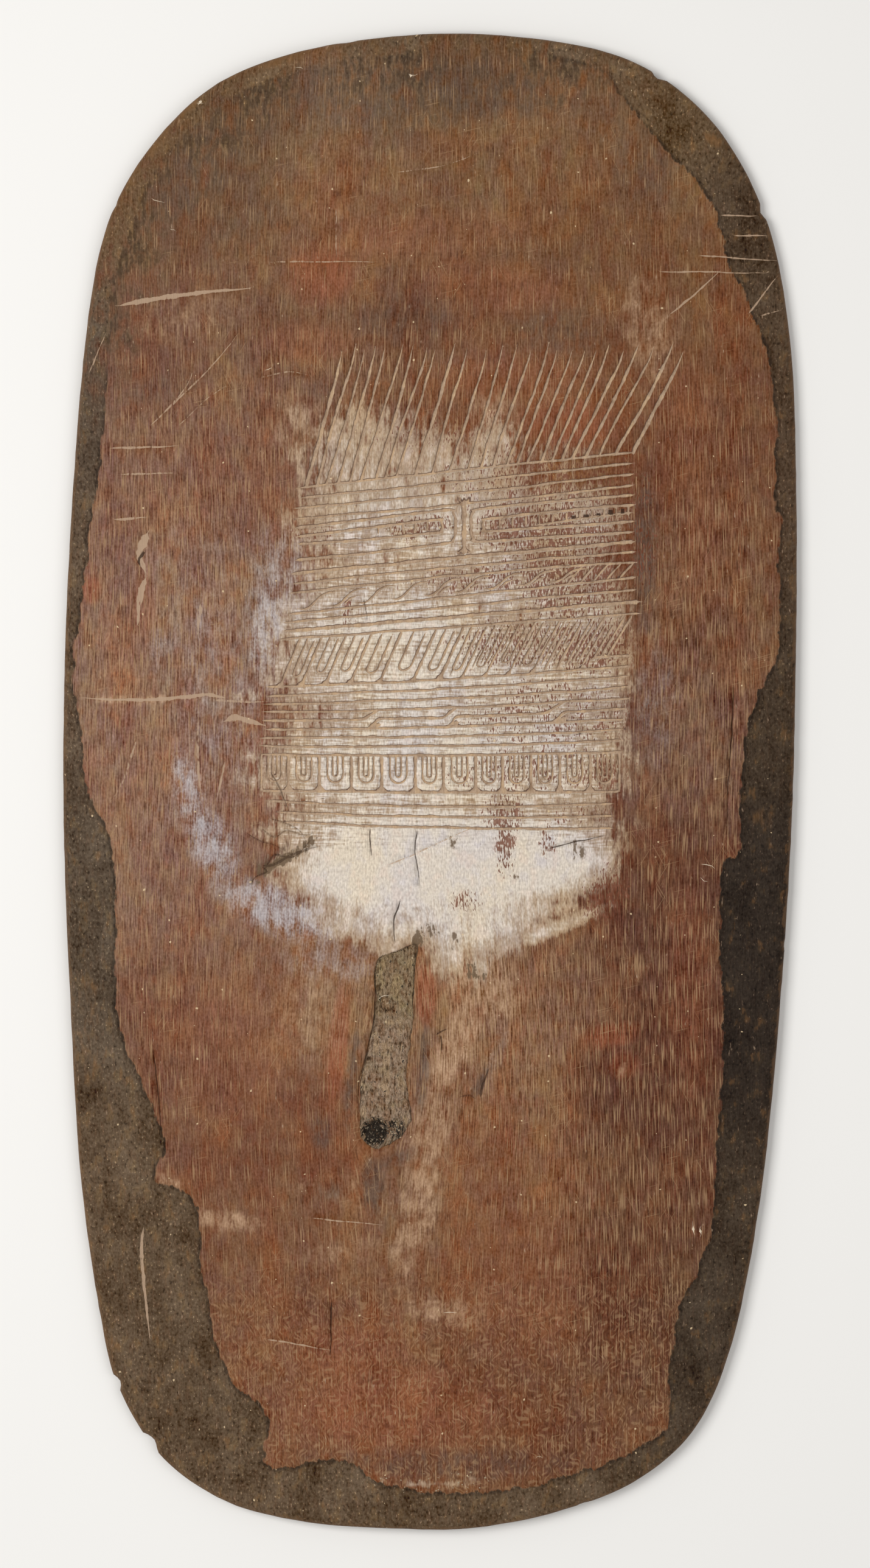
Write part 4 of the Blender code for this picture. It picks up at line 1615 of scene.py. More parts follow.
class Graph:
    """A node tree that is being laid out."""

    def __init__(self, tree: bpy.types.NodeTree) -> None:
        """Starts from what the tree holds."""
        self.tree = tree

    def feed(self, node: bpy.types.Node, inputs: Inputs) -> None:
        """Links or sets a node's inputs.

        Args:
            node: the node.
            inputs: what goes into it, in order or by name or number. A list is several links.
        """
        for key, value in inputs.items() if isinstance(inputs, dict) else enumerate(inputs):
            for one in value if isinstance(value, list) else [value]:
                one = self.signal(one)
                if isinstance(one, bpy.types.NodeSocket):
                    self.tree.links.new(one, node.inputs[key])
                else:
                    node.inputs[key].default_value = one

    def signal(self, value: Signal) -> Signal:
        """What a value stands for in this tree: here, itself."""
        return value

    def add(
        self, kind: str, inputs: Inputs = (), out: int | str = 0, **settings: object
    ) -> bpy.types.NodeSocket | None:
        """Adds a node with its settings and links.

        Args:
            kind: the node's type.
            inputs: what goes into it, as feed takes it.
            out: which of its outputs is wanted.
            settings: the node's own properties.

        Returns:
            The wanted output, or None if the node has none.
        """
        node = self.tree.nodes.new(kind)
        for name, value in settings.items():
            setattr(node, name, value)
        self.feed(node, inputs)
        return node.outputs[out] if node.outputs else None

    def times(self, value: Signal, *others: Signal) -> Signal:
        """The product of several masks or strengths, from the left.

        Args:
            value: the first.
            others: the rest.

        Returns:
            The last product.
        """
        for other in others:
            value = self.add(MATH, [value, other], operation="MULTIPLY")
        return value


class Weathering(Graph):
    """Relief that follows the surface: hollows, bark, adze facets on the back, and clay crumbs.

    Its tree takes the board, its sizes in millimetres, a seed and three finishes.
    """

    SIZES = {
        "Hollow size": 46.0, "Hollow depth": 0.35, "Bark size": 5.0, "Bark depth": 1.5,
        "Facet size": 38.0, "Facet depth": 0.9, "Crumb size": 0.9, "Crumbs per square metre": 60000.0,
    }
    SEED = 11
    FINISHES = ("Finish", "Back finish", "Crumb finish")
    CUTS = {"Hollow": (2.0, 1.5), "Bark": (2.2, 4.0)}
    CUT_RANGE = (0.3, 0.7)
    FACET_SQUASH = 0.55
    FACET_UNEVENNESS = 0.85
    FACET_EDGE = 0.62
    FACETS_BEGIN = (2.0, 14.0)
    CRUMB_SHAPE = (1.0, 0.8, 0.6)
    CRUMB_SCALES = (0.35, 1.1)
    BACK_BELOW = 0.01

    def __init__(self) -> None:
        """Builds the tree from its inputs to its outcome."""
        super().__init__(bpy.data.node_groups.new("board_weathering", "GeometryNodeTree"))
        kinds = {"Geometry": "Geometry"} | {name: "Float" for name in self.SIZES}
        kinds |= {"Seed": "Int"} | {name: "Material" for name in self.FINISHES}
        for name, kind in kinds.items():
            self.tree.interface.new_socket(name, in_out="INPUT", socket_type=f"NodeSocket{kind}")
        self.tree.interface.new_socket("Geometry", in_out="OUTPUT", socket_type="NodeSocketGeometry")
        self.add("NodeGroupInput")
        self.given = {socket.name: socket for socket in self.tree.nodes[-1].outputs}
        front = self.level("front")
        cuts = [self.cut("Hollow", front), self.cut("Bark", self.level("knot"))]
        drop = self.add(MATH, cuts, operation="ADD")
        lift = self.add(MATH, [self.facets(front), drop], operation="SUBTRACT")
        offset = self.add("ShaderNodeCombineXYZ", {"Z": self.times(lift, MM)})
        board = self.add("GeometryNodeSetPosition", {0: self.given["Geometry"], "Offset": offset})
        under = self.add("FunctionNodeCompare", [front, self.BACK_BELOW], operation="LESS_THAN")
        dressed = self.add(SET_MATERIAL, {0: board, "Material": self.given["Finish"]})
        dressed = self.add(
            SET_MATERIAL, {0: dressed, "Selection": under, "Material": self.given["Back finish"]})
        whole = self.add("GeometryNodeJoinGeometry", {0: [dressed, self.crumbs(board)]})
        self.add("NodeGroupOutput", [whole])

    def level(self, name: str) -> Signal:
        """The value that the mesh gives each place under a name."""
        return self.add("GeometryNodeInputNamedAttribute", [name], data_type="FLOAT")

    def millimetres(self, squash: float) -> Signal:
        """Each place in millimetres, with its Y squashed so that patterns are long that way.

        Args:
            squash: what its Y is multiplied by.

        Returns:
            A place for the noises.
        """
        place = [self.add("GeometryNodeInputPosition"), (1 / MM,) * 3]
        place = self.add(VECTOR, place, operation="MULTIPLY")
        return self.add(VECTOR, [place, (1.0, squash, 1.0)], operation="MULTIPLY")

    def cut(self, name: str, where: Signal) -> Signal:
        """A noise that only cuts downwards.

        Args:
            name: whose sizes it has, the hollows' or the bark's.
            where: how much of it each place has.

        Returns:
            How deep it cuts at each place, in millimetres.
        """
        stretch, detail = self.CUTS[name]
        share = self.add(MATH, [1.0, self.given[f"{name} size"]], operation="DIVIDE")
        place = {0: self.millimetres(1 / stretch), "Scale": share}
        scaled = self.add(VECTOR, place, operation="SCALE")
        noise = self.add(
            "ShaderNodeTexNoise",
            {"Vector": scaled, "W": self.given["Seed"], "Scale": 1.0, "Detail": detail},
            noise_dimensions="4D")
        shallow = self.add("ShaderNodeMapRange", [noise, *self.CUT_RANGE, 0.0, 1.0])
        return self.times(shallow, self.given[f"{name} depth"], where)

    def facets(self, front: Signal) -> Signal:
        """The shallow bowls that an adze leaves on the back.

        Args:
            front: 1 on the front and 0 on the back.

        Returns:
            How deep they lie at each place, in millimetres.
        """
        share = self.add(MATH, [1.0, self.given["Facet size"]], operation="DIVIDE")
        facet = self.add("ShaderNodeTexVoronoi", {
            "Vector": self.millimetres(self.FACET_SQUASH), "Scale": share,
            "Randomness": self.FACET_UNEVENNESS})
        bowl = self.add("ShaderNodeMapRange", [facet, 0.0, self.FACET_EDGE, 1.0, 0.0])
        inner = self.add("ShaderNodeMapRange", [self.level("rim"), *self.FACETS_BEGIN])
        behind = self.add(MATH, [1.0, front], operation="SUBTRACT")
        return self.times(bowl, inner, behind, self.given["Facet depth"])

    def crumbs(self, board: Signal) -> Signal:
        """Crumbs of clay strewn where the mesh says that some stick.

        Args:
            board: the board that they stick to.

        Returns:
            The crumbs, as plain faces with their own finish.
        """
        density = self.times(self.level("crumbs"), self.given["Crumbs per square metre"])
        seed, (least, most) = self.given["Seed"], self.CRUMB_SCALES
        points = self.add(
            "GeometryNodeDistributePointsOnFaces", {"Mesh": board, "Density": density, "Seed": seed})
        radius = self.times(self.given["Crumb size"], MM)
        crumb = self.add("GeometryNodeMeshIcoSphere", {"Radius": radius, "Subdivisions": 1})
        size = self.add(
            "FunctionNodeRandomValue", {2: least, 3: most, "Seed": seed}, out=1, data_type="FLOAT")
        strewn = self.add("GeometryNodeInstanceOnPoints", {
            "Points": points, "Instance": crumb, "Rotation": points.node.outputs["Rotation"],
            "Scale": self.add(VECTOR, {0: self.CRUMB_SHAPE, "Scale": size}, operation="SCALE")})
        real = self.add("GeometryNodeRealizeInstances", [strewn])
        return self.add(SET_MATERIAL, {0: real, "Material": self.given["Crumb finish"]})

    def apply(self, board: bpy.types.Object, finishes: dict[str, bpy.types.Material]) -> bpy.types.Object:
        """Weathers the board and leaves it a plain mesh.

        Args:
            board: the board.
            finishes: the finish for each of the tree's material inputs, by its name.

        Returns:
            The same object with its new mesh.
        """
        modifier = board.modifiers.new("Weathering", "NODES")
        modifier.node_group = self.tree
        values = self.SIZES | {"Seed": self.SEED} | finishes
        for item in modifier.node_group.interface.items_tree:
            if item.name in values:
                modifier[item.identifier] = values[item.name]
        graph = bpy.context.evaluated_depsgraph_get()
        seen = board.evaluated_get(graph)
        mesh = bpy.data.meshes.new_from_object(seen, preserve_all_data_layers=True, depsgraph=graph)
        board.modifiers.remove(modifier)
        plain, board.data = board.data, mesh
        bpy.data.meshes.remove(plain)
        mesh.name = "board"
        return board


# Finishes


Hue = tuple[float, float, float]
Mix = tuple[tuple[Signal, float], ...]
Tint = tuple[Signal, float, float, float, Hue]

RED: Hue = (1.1, 0.95, 0.85)
GOLDEN: Hue = (1.09, 1.02, 0.82)
OLIVE: Hue = (0.94, 1.0, 0.93)
VIOLET: Hue = (0.95, 0.92, 1.04)
DULL: Hue = (0.78, 0.76, 0.74)
WOOD_IOR = 1.5


def linear(colour: str) -> tuple[float, float, float, float]:
    """An sRGB hex colour as the linear colour that a shader takes."""
    parts = [int(colour[k : k + 2], 16) / 255 for k in (0, 2, 4)]
    return (*(p / 12.92 if p <= 0.04045 else ((p + 0.055) / 1.055) ** 2.4 for p in parts), 1.0)


@dataclass(frozen=True)
class Mask:
    """Where something lies: a field eased between two of its values, up to a strength.

    Noises push the field up and down, or, where it has a share, swell that share of it.
    """

    field: Signal
    low: float
    high: float
    most: float = 1.0
    torn: Mix = ()
    share: float = 0.0


@dataclass(frozen=True)
class Coat:
    """What lies on the board: its colour, its roughness, where it lies and what makes it uneven."""

    colour: Signal
    roughness: Signal
    masks: tuple[Mask | Signal, ...] = ()
    uneven: Mix = ()
    hues: tuple[Tint, ...] = ()


class Dressing(Graph):
    """A new material and its node tree, which ends in its shader."""

    def __init__(self, name: str) -> None:
        """Starts the material.

        Args:
            name: what it is called.
        """
        self.material = bpy.data.materials.new(name)
        self.material.use_nodes = True
        super().__init__(self.material.node_tree)

    def dress(self, sockets: dict[str, Signal]) -> bpy.types.Material:
        """Links or sets the shader's sockets by name, and gives the material."""
        self.feed(self.tree.nodes["Principled BSDF"], sockets)
        return self.material


class Palette(Dressing):
    """A material with the fields that its coats draw on: the mesh's levels, its grain and noises.

    Its nodes take a field by its name and a colour by its hex value. A noise is given in its own
    standard deviations, so 1.5 is passed by about a fifteenth of it.
    """

    LEVELS = (
        "rim", "border", "fading", "knot", "pit", "fleck", *(mark.value for mark in Mark),
        *(stain.value for stain in Stain),
    )
    VECTORS = ("tone", "soot", "grain", "place")
    NOISES = {
        "broad": ("grain", (28.0, 100.0), 1, 3), "drift": ("place", (36.0, 48.0), 2, 4),
        "cloud": ("place", (9.0, 14.0), 3, 3), "patch": ("grain", (3.2, 11.0), 4, 2),
        "strand": ("grain", (3.0, 60.0), 5, 1), "fibre": ("grain", (1.1, 15.0), 6, 1),
        "dash": ("grain", (1.15, 4.0), 7, 1), "grit": ("place", (1.5, 2.2), 8, 1),
    }
    ONE_OCTAVE_SPREAD = 0.159
    SHIFT = (17.3, 5.1)
    GREYING = 0.5
    VEIL = (1.05, 1.0, 0.85)

    def __init__(self, name: str) -> None:
        """Reads every level once, and lays the noises that several coats share.

        Args:
            name: what the material is called.
        """
        super().__init__(name)
        self.fields = {
            name: self.add("ShaderNodeAttribute", out=out, attribute_name=name)
            for out, names in (("Fac", self.LEVELS), ("Vector", self.VECTORS)) for name in names
        }
        self.fields["height"] = self.add("ShaderNodeSeparateXYZ", ["place"], out="Y")
        for noise, recipe in self.NOISES.items():
            self.fields[noise] = self.noise(*recipe)

    def signal(self, value: Signal) -> Signal:
        """What a value stands for.

        Args:
            value: a field's name, a colour's hex value, a socket or a plain value.

        Returns:
            The field, the linear colour, or the value itself.
        """
        if isinstance(value, str):
            return self.fields[value] if value in self.fields else linear(value)
        return value

    def noise(self, ground: Signal, pitch: Place, seed: float, octaves: int = 0) -> Signal:
        """A noise whose patches are so many millimetres across and along the grain.

        Args:
            ground: the coordinates that it is drawn on.
            pitch: the size of its patches across and along.
            seed: shifts it away from the others.
            octaves: how many finer noises lie in it.

        Returns:
            Its value in standard deviations, mostly from -2 to 2.
        """
        scale, shift = (1 / pitch[0], 1 / pitch[1], 0.0), (*(seed * step for step in self.SHIFT), 0.0)
        scaled = self.add(VECTOR, [ground, scale, shift], operation="MULTIPLY_ADD")
        noise = {"Vector": scaled, "Scale": 1.0, "Detail": octaves}
        noise = self.add("ShaderNodeTexNoise", noise, noise_dimensions="2D")
        sizes = [0.5**i for i in range(octaves + 1)]
        gain = sum(sizes) / math.sqrt(sum(size**2 for size in sizes)) / self.ONE_OCTAVE_SPREAD
        return self.add(MATH, [noise, gain, -gain / 2], operation="MULTIPLY_ADD")

    def between(self, value: Signal, low: float, high: float, most: float = 1.0) -> Signal:
        """A value's eased place between low and high, as a mask up to its most."""
        inputs = [value, low, high, 0.0, most]
        return self.add("ShaderNodeMapRange", inputs, interpolation_type="SMOOTHSTEP")

    def moved(self, value: Signal, *noises: tuple[Signal, float]) -> Signal:
        """A value that noises push up and down, each by so much for one standard deviation.

        Args:
            value: what they push.
            noises: each field with its strength.

        Returns:
            The pushed value.
        """
        for noise, amount in noises:
            value = self.add(MATH, [noise, amount, value], operation="MULTIPLY_ADD")
        return value

    def drawn(self, mask: Mask | Signal) -> Signal:
        """How strong a mask is at each place.

        Args:
            mask: the mask, or a field that is one as it stands.

        Returns:
            From 0 to its most.
        """
        if not isinstance(mask, Mask):
            return mask
        if mask.share:
            value = self.times(mask.field, self.moved(mask.share, *mask.torn))
        else:
            value = self.moved(mask.field, *mask.torn)
        return self.between(value, mask.low, mask.high, mask.most)

    def uneven(self, colour: Signal, *noises: tuple[Signal, float]) -> Signal:
        """A colour that noises make lighter and darker, greyer where it is lighter, as dust does.

        Args:
            colour: the colour.
            noises: each noise, and the share of the colour that one standard deviation adds.

        Returns:
            The uneven colour.
        """
        share = self.moved(0.0, *noises)
        scale = self.add(MATH, [share, 1 - self.GREYING, 1.0], operation="MULTIPLY_ADD")
        scaled = self.add(
            MIX, {SHARE: 1.0, COLOUR_A: colour, COLOUR_B: scale}, **OF_COLOURS, blend_type="MULTIPLY")
        veil = (*(self.GREYING * part for part in self.VEIL), 1.0)
        dusty = self.times(self.add("ShaderNodeRGBToBW", [colour]), share)
        return self.add(
            MIX, {SHARE: dusty, COLOUR_A: scaled, COLOUR_B: veil}, **OF_COLOURS,
            blend_type="ADD", clamp_factor=False)

    def steeped(self, colour: Signal, hue: Hue, where: Signal = 1.0) -> Signal:
        """A colour multiplied by a hue, all over or as far as a mask says."""
        inputs = {SHARE: where, COLOUR_A: colour, COLOUR_B: (*hue, 1.0)}
        return self.add(MIX, inputs, **OF_COLOURS, blend_type="MULTIPLY")

    def painted(self, coat: Coat) -> Signal:
        """A coat's colour, made uneven and pulled towards its hues.

        Args:
            coat: the coat.

        Returns:
            The colour.
        """
        colour = self.uneven(coat.colour, *coat.uneven) if coat.uneven else coat.colour
        for value, low, high, most, hue in coat.hues:
            colour = self.steeped(colour, hue, self.between(value, low, high, most))
        return colour

    def lay(self, coat: Coat, *uppers: Coat) -> Coat:
        """A coat with others laid over it, each wherever its masks say.

        Args:
            coat: the lowest coat, which lies everywhere.
            uppers: the others, from the lowest up.

        Returns:
            What they show together.
        """
        for upper in uppers:
            where = self.times(*map(self.drawn, upper.masks))
            colours = {SHARE: where, COLOUR_A: self.painted(coat), COLOUR_B: self.painted(upper)}
            gloss = {SHARE: where, VALUE_A: coat.roughness, VALUE_B: upper.roughness}
            coat = Coat(self.add(MIX, colours, **OF_COLOURS), self.add(MIX, gloss))
        return coat

    def finish(self, coat: Coat, height: Signal, specular: float) -> bpy.types.Material:
        """Gives the shader its outermost coat.

        Args:
            coat: what the coats show together.
            height: its finest relief, in millimetres.
            specular: how strongly it mirrors light.

        Returns:
            The material.
        """
        bump = self.add("ShaderNodeBump", {"Strength": 1.0, "Distance": MM, "Height": height})
        return self.dress({
            "Base Color": self.painted(coat), "Roughness": coat.roughness, "Normal": bump,
            "IOR": WOOD_IOR, "Specular IOR Level": specular})


@dataclass(frozen=True)
class BareWood:
    """Tropical hardwood, adzed, then handled until it shines.

    It gives the eye clouds of red, golden and grey brown, fine fibres, pale hairlines and dark
    pores along the grain, and stray scratches. Real pores are 0.2 mm wide: here they are 0.85 mm,
    the finest that shows.
    """

    hairline: Place = (0.85, 22.0)
    pore: Place = (0.85, 11.0)
    hue: Place = (15.0, 22.0)
    wave: Place = (9.0, 9.0)
    wave_height: float = 1.6
    fleck: Place = (1.5, 3.8)
    scratch: Place = (0.85, 24.0)
    scratch_turns: tuple[float, ...] = (1.35, 0.55, -0.5)
    depth: Hue = (0.88, 0.815, 0.7)
    pore_depth: Hue = (0.55, 0.47, 0.42)
    dust: str = "ab8a66"
    satin: float = 0.42
    dusty: float = 0.6
    unevenness: Mix = (
        ("broad", 0.05), ("drift", 0.05), ("cloud", 0.06), ("patch", 0.03), ("grit", 0.11),
        ("fibres", 1.0))
    hues: tuple[Tint, ...] = (
        ("broad", -0.2, -1.8, 0.8, RED), ("broad", 0.4, 1.8, 0.8, OLIVE),
        ("drift", 0.2, 1.8, 0.6, GOLDEN), ("drift", -0.4, -1.8, 0.7, VIOLET),
        ("cloud", -0.2, -1.6, 0.7, RED), ("cloud", 0.3, 1.8, 0.6, OLIVE),
        ("patch", 0.5, 2.0, 0.35, GOLDEN), ("patch", -0.5, -2.0, 0.4, RED),
        ("hue", 0.2, 1.2, 0.5, GOLDEN), ("hue", -0.2, -1.2, 0.65, VIOLET),
    )
    stains: tuple[tuple[str, str, float, Mix], ...] = (
        ("rust", "8c482a", 0.6, (("cloud", 0.12), ("broad", 0.14), ("patch", 0.08))),
        ("tan", "a98668", 0.75, (("cloud", 0.18), ("patch", 0.16), ("dash", 0.08))),
        ("smoke", "50423a", 0.7, (("cloud", 0.14), ("patch", 0.14), ("grit", 0.06))),
    )

    def coat(self, palette: Palette) -> Coat:
        """The bare wood's coat.

        Args:
            palette: the shader's fields.

        Returns:
            The coat.
        """
        noise, moved, times = palette.noise, palette.moved, palette.times
        open_grain = moved(0.55, ("open", 0.75))
        wave = palette.add("ShaderNodeCombineXYZ", [times(noise("place", self.wave, 11), self.wave_height)])
        wavy = palette.add(VECTOR, ["grain", wave], operation="ADD")
        palette.fields |= {
            "hue": noise("place", self.hue, 16, 4),
            "fibres": times(moved(times("fibre", 0.19), ("strand", 0.02)), open_grain),
            "hairlines": moved(noise("grain", self.hairline, 9), (open_grain, 1.0)),
            "pores": moved(noise("grain", self.pore, 10), (open_grain, 0.7)),
            "flecks": noise(wavy, self.fleck, 12),
        }
        tone = palette.steeped("tone", self.depth)
        stains = [
            Coat(colour, self.satin, (Mask(name, 0.1, 1.25, strength, torn, 1.0),), self.unevenness)
            for name, colour, strength, torn in self.stains
        ]
        wood = Coat(tone, self.satin, (), self.unevenness, self.hues)
        return self.lines(palette, palette.lay(wood, *stains))

    def lines(self, palette: Palette, coat: Coat) -> Coat:
        """The wood with its hairlines, pores, flecks and scratches drawn in.

        Args:
            palette: the shader's fields.
            coat: the wood without them.

        Returns:
            The coat.
        """
        darker = palette.steeped(coat.colour, self.pore_depth)
        scratches = []
        for i, turn in enumerate(self.scratch_turns):
            turned = palette.add(
                "ShaderNodeVectorRotate", {"Vector": "place", "Angle": turn}, rotation_type="Z_AXIS")
            scratch = palette.moved(palette.noise(turned, self.scratch, 13 + i), ("drift", 0.3))
            scratches.append(Coat(self.dust, self.dusty, (Mask(scratch, 2.3, 2.8, 0.35),)))
        return palette.lay(
            coat,
            Coat(self.dust, self.dusty, (Mask("hairlines", 1.5, 3.1, 0.62),)),
            Coat(darker, self.dusty, (Mask("pores", 1.2, 2.7, 0.8),)),
            Coat(self.dust, self.dusty, (Mask("flecks", 0.5, 1.6, 0.32), "fleck")),
            Coat(darker, self.dusty, (Mask("flecks", -0.5, -1.8, 0.5), "fleck")),
            *scratches)


@dataclass(frozen=True)
class SootyBorder:
    """Wood blackened by smoke and never wiped: dull, speckled with grit, worn at the rim.

    It gives the eye a mottled grey-brown with pale specks and dark pits, a dark line at the foot
    of the step, a lighter line along its edge and rusty dust near the rim. Real grit is half
    a millimetre wide: here it is about 1.5 mm, the finest that shows.
    """

    stone: Place = (2.6, 3.4)
    warmth: Hue = (0.99, 0.97, 0.86)
    dull: float = 0.62
    unevenness: Mix = (("cloud", 0.12), ("stone", 0.12), ("grit", 0.13), ("drift", 0.15))
    hues: tuple[Tint, ...] = (
        ("cloud", 0.3, 1.8, 0.7, GOLDEN), ("patch", 0.3, 1.8, 0.5, RED),
        ("grit", 1.7, 2.7, 1.0, (2.3, 2.3, 2.2)), ("stone", -1.2, -2.4, 0.8, (0.5, 0.5, 0.5)),
    )
    dust: tuple[Coat, ...] = (
        Coat("72502f", 0.62, (Mask("ochre", 0.1, 1.3, 0.75, (("cloud", 0.3), ("patch", 0.2)), 1.0),),
             (("patch", 0.15),)),
        Coat("72502f", 0.62, (Mask("cloud", 0.9, 2.2, 0.35), Mask("patch", -0.5, 1.0))),
    )
    foot: Coat = Coat("1e150f", 0.7, (Mask("border", 3.6, 0.7, 0.6), Mask("patch", -1.5, 0.5)))
    worn_rim: Coat = Coat("7b5a3d", 0.5, (Mask("rim", 3.4, 0.6, 0.4, (("patch", 0.8), ("grit", 0.4))),))
    pale_step_edge: Coat = Coat(
        "8f6749", 0.5,
        (Mask("border", -3.0, -0.9), Mask("fading", 0.6, 0.0), Mask("patch", -0.2, 1.2, 0.6)))
    crisp: Mask = Mask("border", -0.7, 0.7, 1.0, (("patch", 0.5), ("grit", 0.2)))
    faded: Mask = Mask("border", -30.0, 30.0, 1.0, (("drift", 12.0), ("cloud", 9.0), ("patch", 5.0)))

    def over(self, palette: Palette, coat: Coat) -> Coat:
        """Lays a lighter line along the step's edge and the border over the raised middle's wood.

        Args:
            palette: the shader's fields.
            coat: the wood.

        Returns:
            What they show together.
        """
        palette.fields["stone"] = palette.noise("place", self.stone, 21, 2)
        soot = Coat(palette.steeped("soot", self.warmth), self.dull, (), self.unevenness, self.hues)
        soot = palette.lay(soot, *self.dust, self.foot, self.worn_rim)
        torn = {SHARE: "fading", VALUE_A: palette.drawn(self.crisp), VALUE_B: palette.drawn(self.faded)}
        there = palette.add(MIX, torn)
        return palette.lay(coat, self.pale_step_edge, Coat(soot.colour, soot.roughness, (there,)))


CREAM: Hue = (1.03, 1.0, 0.92)
PINK: Hue = (1.03, 0.96, 0.94)
GREY: Hue = (0.94, 0.96, 1.05)


@dataclass(frozen=True)
class Lime:
    """Burnt lime rubbed into the carving by hand, then rubbed off again.

    It gives the eye a chalky cream where it is thick and tan or violet-grey where it is thin,
    with the sideways marks of the rubbing.
    """

    brush: Place = (13.0, 1.6)
    brushed: tuple[Mask, ...] = (Mask("height", -38.0, -30.0), Mask("height", 212.0, 202.0))
    unevenness: Mix = (("dash", 0.06), ("grit", 0.06), ("brush", 0.05))
    hues: tuple[Tint, ...] = (
        ("drift", 0.2, 1.6, 0.8, CREAM), ("drift", -0.2, -1.6, 0.8, GREY),
        ("cloud", 0.4, 1.8, 0.6, PINK), ("cloud", -0.4, -1.8, 0.6, GREY),
    )
    there: tuple[Mask, ...] = (Mask("lime", 0.04, 0.3), Mask("groove", 0.6, 0.2))
    thin: Mask = Mask(
        "lime", 0.15, 0.7, 0.92, (("cloud", 0.09), ("patch", 0.08), ("strand", 0.07), ("dash", 0.05)))
    thick: Mask = Mask(
        "lime", 0.6, 1.36, 0.97,
        (("cloud", 0.1), ("brush", 0.12), ("patch", 0.05), ("strand", 0.06), ("dash", 0.05)))

    def over(self, palette: Palette, coat: Coat) -> Coat:
        """Lays the thin and the thick lime over a coat, wherever the mesh says that there is some.

        Args:
            palette: the shader's fields.
            coat: what lies under it.

        Returns:
            What they show together.
        """
        brush = palette.noise("place", self.brush, 17, 2)
        palette.fields["brush"] = palette.times(brush, *map(palette.drawn, self.brushed))
        return palette.lay(coat, *(
            Coat(colour, roughness, (mask, *self.there), self.unevenness, self.hues)
            for colour, roughness, mask in (("b1997f", 0.55, self.thin), ("d5c9ba", 0.45, self.thick))))


# A thin grey-violet haze that lies on the wood in clouds: partly milky old polish, partly a painted sheen
# that stands for the light's reflection on the polished wood.
SHEEN_BLOOM_COAT = Coat(
    "bab5b7", 0.38,
    (Mask("bloom", 0.1, 1.5, 0.72, (("cloud", 0.22), ("fibre", 0.12), ("grit", 0.1)), 0.85),),
    (("dash", 0.05), ("grit", 0.05)))


@dataclass(frozen=True)
class CarvedMarks:
    """What fills or edges the strokes: tan dust, dark dirt, bare wood, dabs of pale clay, painted shade and
    highlight.
    """

    bare: Coat = Coat(
        "6f3f2a", 0.5,
        (Mask("bare", 0.8, 1.15, 0.9, (("dash", 0.34), ("patch", 0.1), ("cloud", 0.12))),
         Mask("bare", 0.05, 0.4)),
        (("dash", -0.12), ("patch", 0.12), ("cloud", 0.1)))
    smear: Coat = Coat(
        "66523d", 0.7,
        (Mask("dirt", 0.35, 0.75, 0.9, (("patch", 0.4), ("cloud", 0.3), ("grit", 0.2)), 1.0),))
    dust: Coat = Coat(
        "af957c", 0.8, (Mask("groove", 0.3, 0.8, 1.0, (("grit", 0.06),)),),
        (("patch", 0.08), ("grit", 0.06), ("cloud", 0.08)),
        (("cloud", 0.0, 1.4, 0.5, GOLDEN), ("patch", 0.0, 1.6, 0.7, DULL)))
    wall: tuple[Mask, ...] = (Mask("groove", 0.02, 0.2), Mask("groove", 1.0, 0.65))
    # painted shade and painted highlight: walls facing away from the light are darkened, and lime-coated
    # walls facing it are lightened
    shaded_wall_paint: Coat = Coat("60483c", 0.7, (Mask("rise", 0.06, -0.3, 0.92),))
    highlit_wall_paint: Coat = Coat("dccfba", 0.5, (Mask("rise", 0.12, 0.45, 0.6), Mask("lime", 0.3, 0.9)))
    others: tuple[Coat, ...] = (
        Coat("b0957c", 0.7, (Mask("scratch", 0.3, 0.7, 0.85, (("dash", 0.1), ("patch", 0.12))),)),
        Coat("2e1d14", 0.9, (Mask("crack", 0.25, 0.75, 0.85),)),
        Coat("d8c6ad", 0.85, (Mask("daub", 0.2, 0.5, 1.0, (("grit", 0.06),)),)),
    )
    LIT_SIDE = (-0.4, 0.9, 0.0)

    def over(self, palette: Palette, coat: Coat) -> Coat:
        """Lays the strokes' own colours over a coat.

        A groove's walls get painted shade where they face down the board, away from the light, and a painted
        highlight where they face up it, towards the light, wherever there is lime.

        Args:
            palette: the shader's fields.
            coat: what lies under them.

        Returns:
            What they show together.
        """
        normal = palette.add("ShaderNodeNewGeometry", out="Normal")
        # rise: how far each surface faces the light; the painted wall shade and highlight follow it
        rise = palette.add(VECTOR, [normal, self.LIT_SIDE], out="Value", operation="DOT_PRODUCT")
        palette.fields["rise"] = palette.moved(rise, ("patch", 0.1))
        walls = [
            Coat(wall.colour, wall.roughness, (*self.wall, *wall.masks))
            for wall in (self.shaded_wall_paint, self.highlit_wall_paint)
        ]
        return palette.lay(coat, self.bare, self.smear, self.dust, *walls, *self.others)


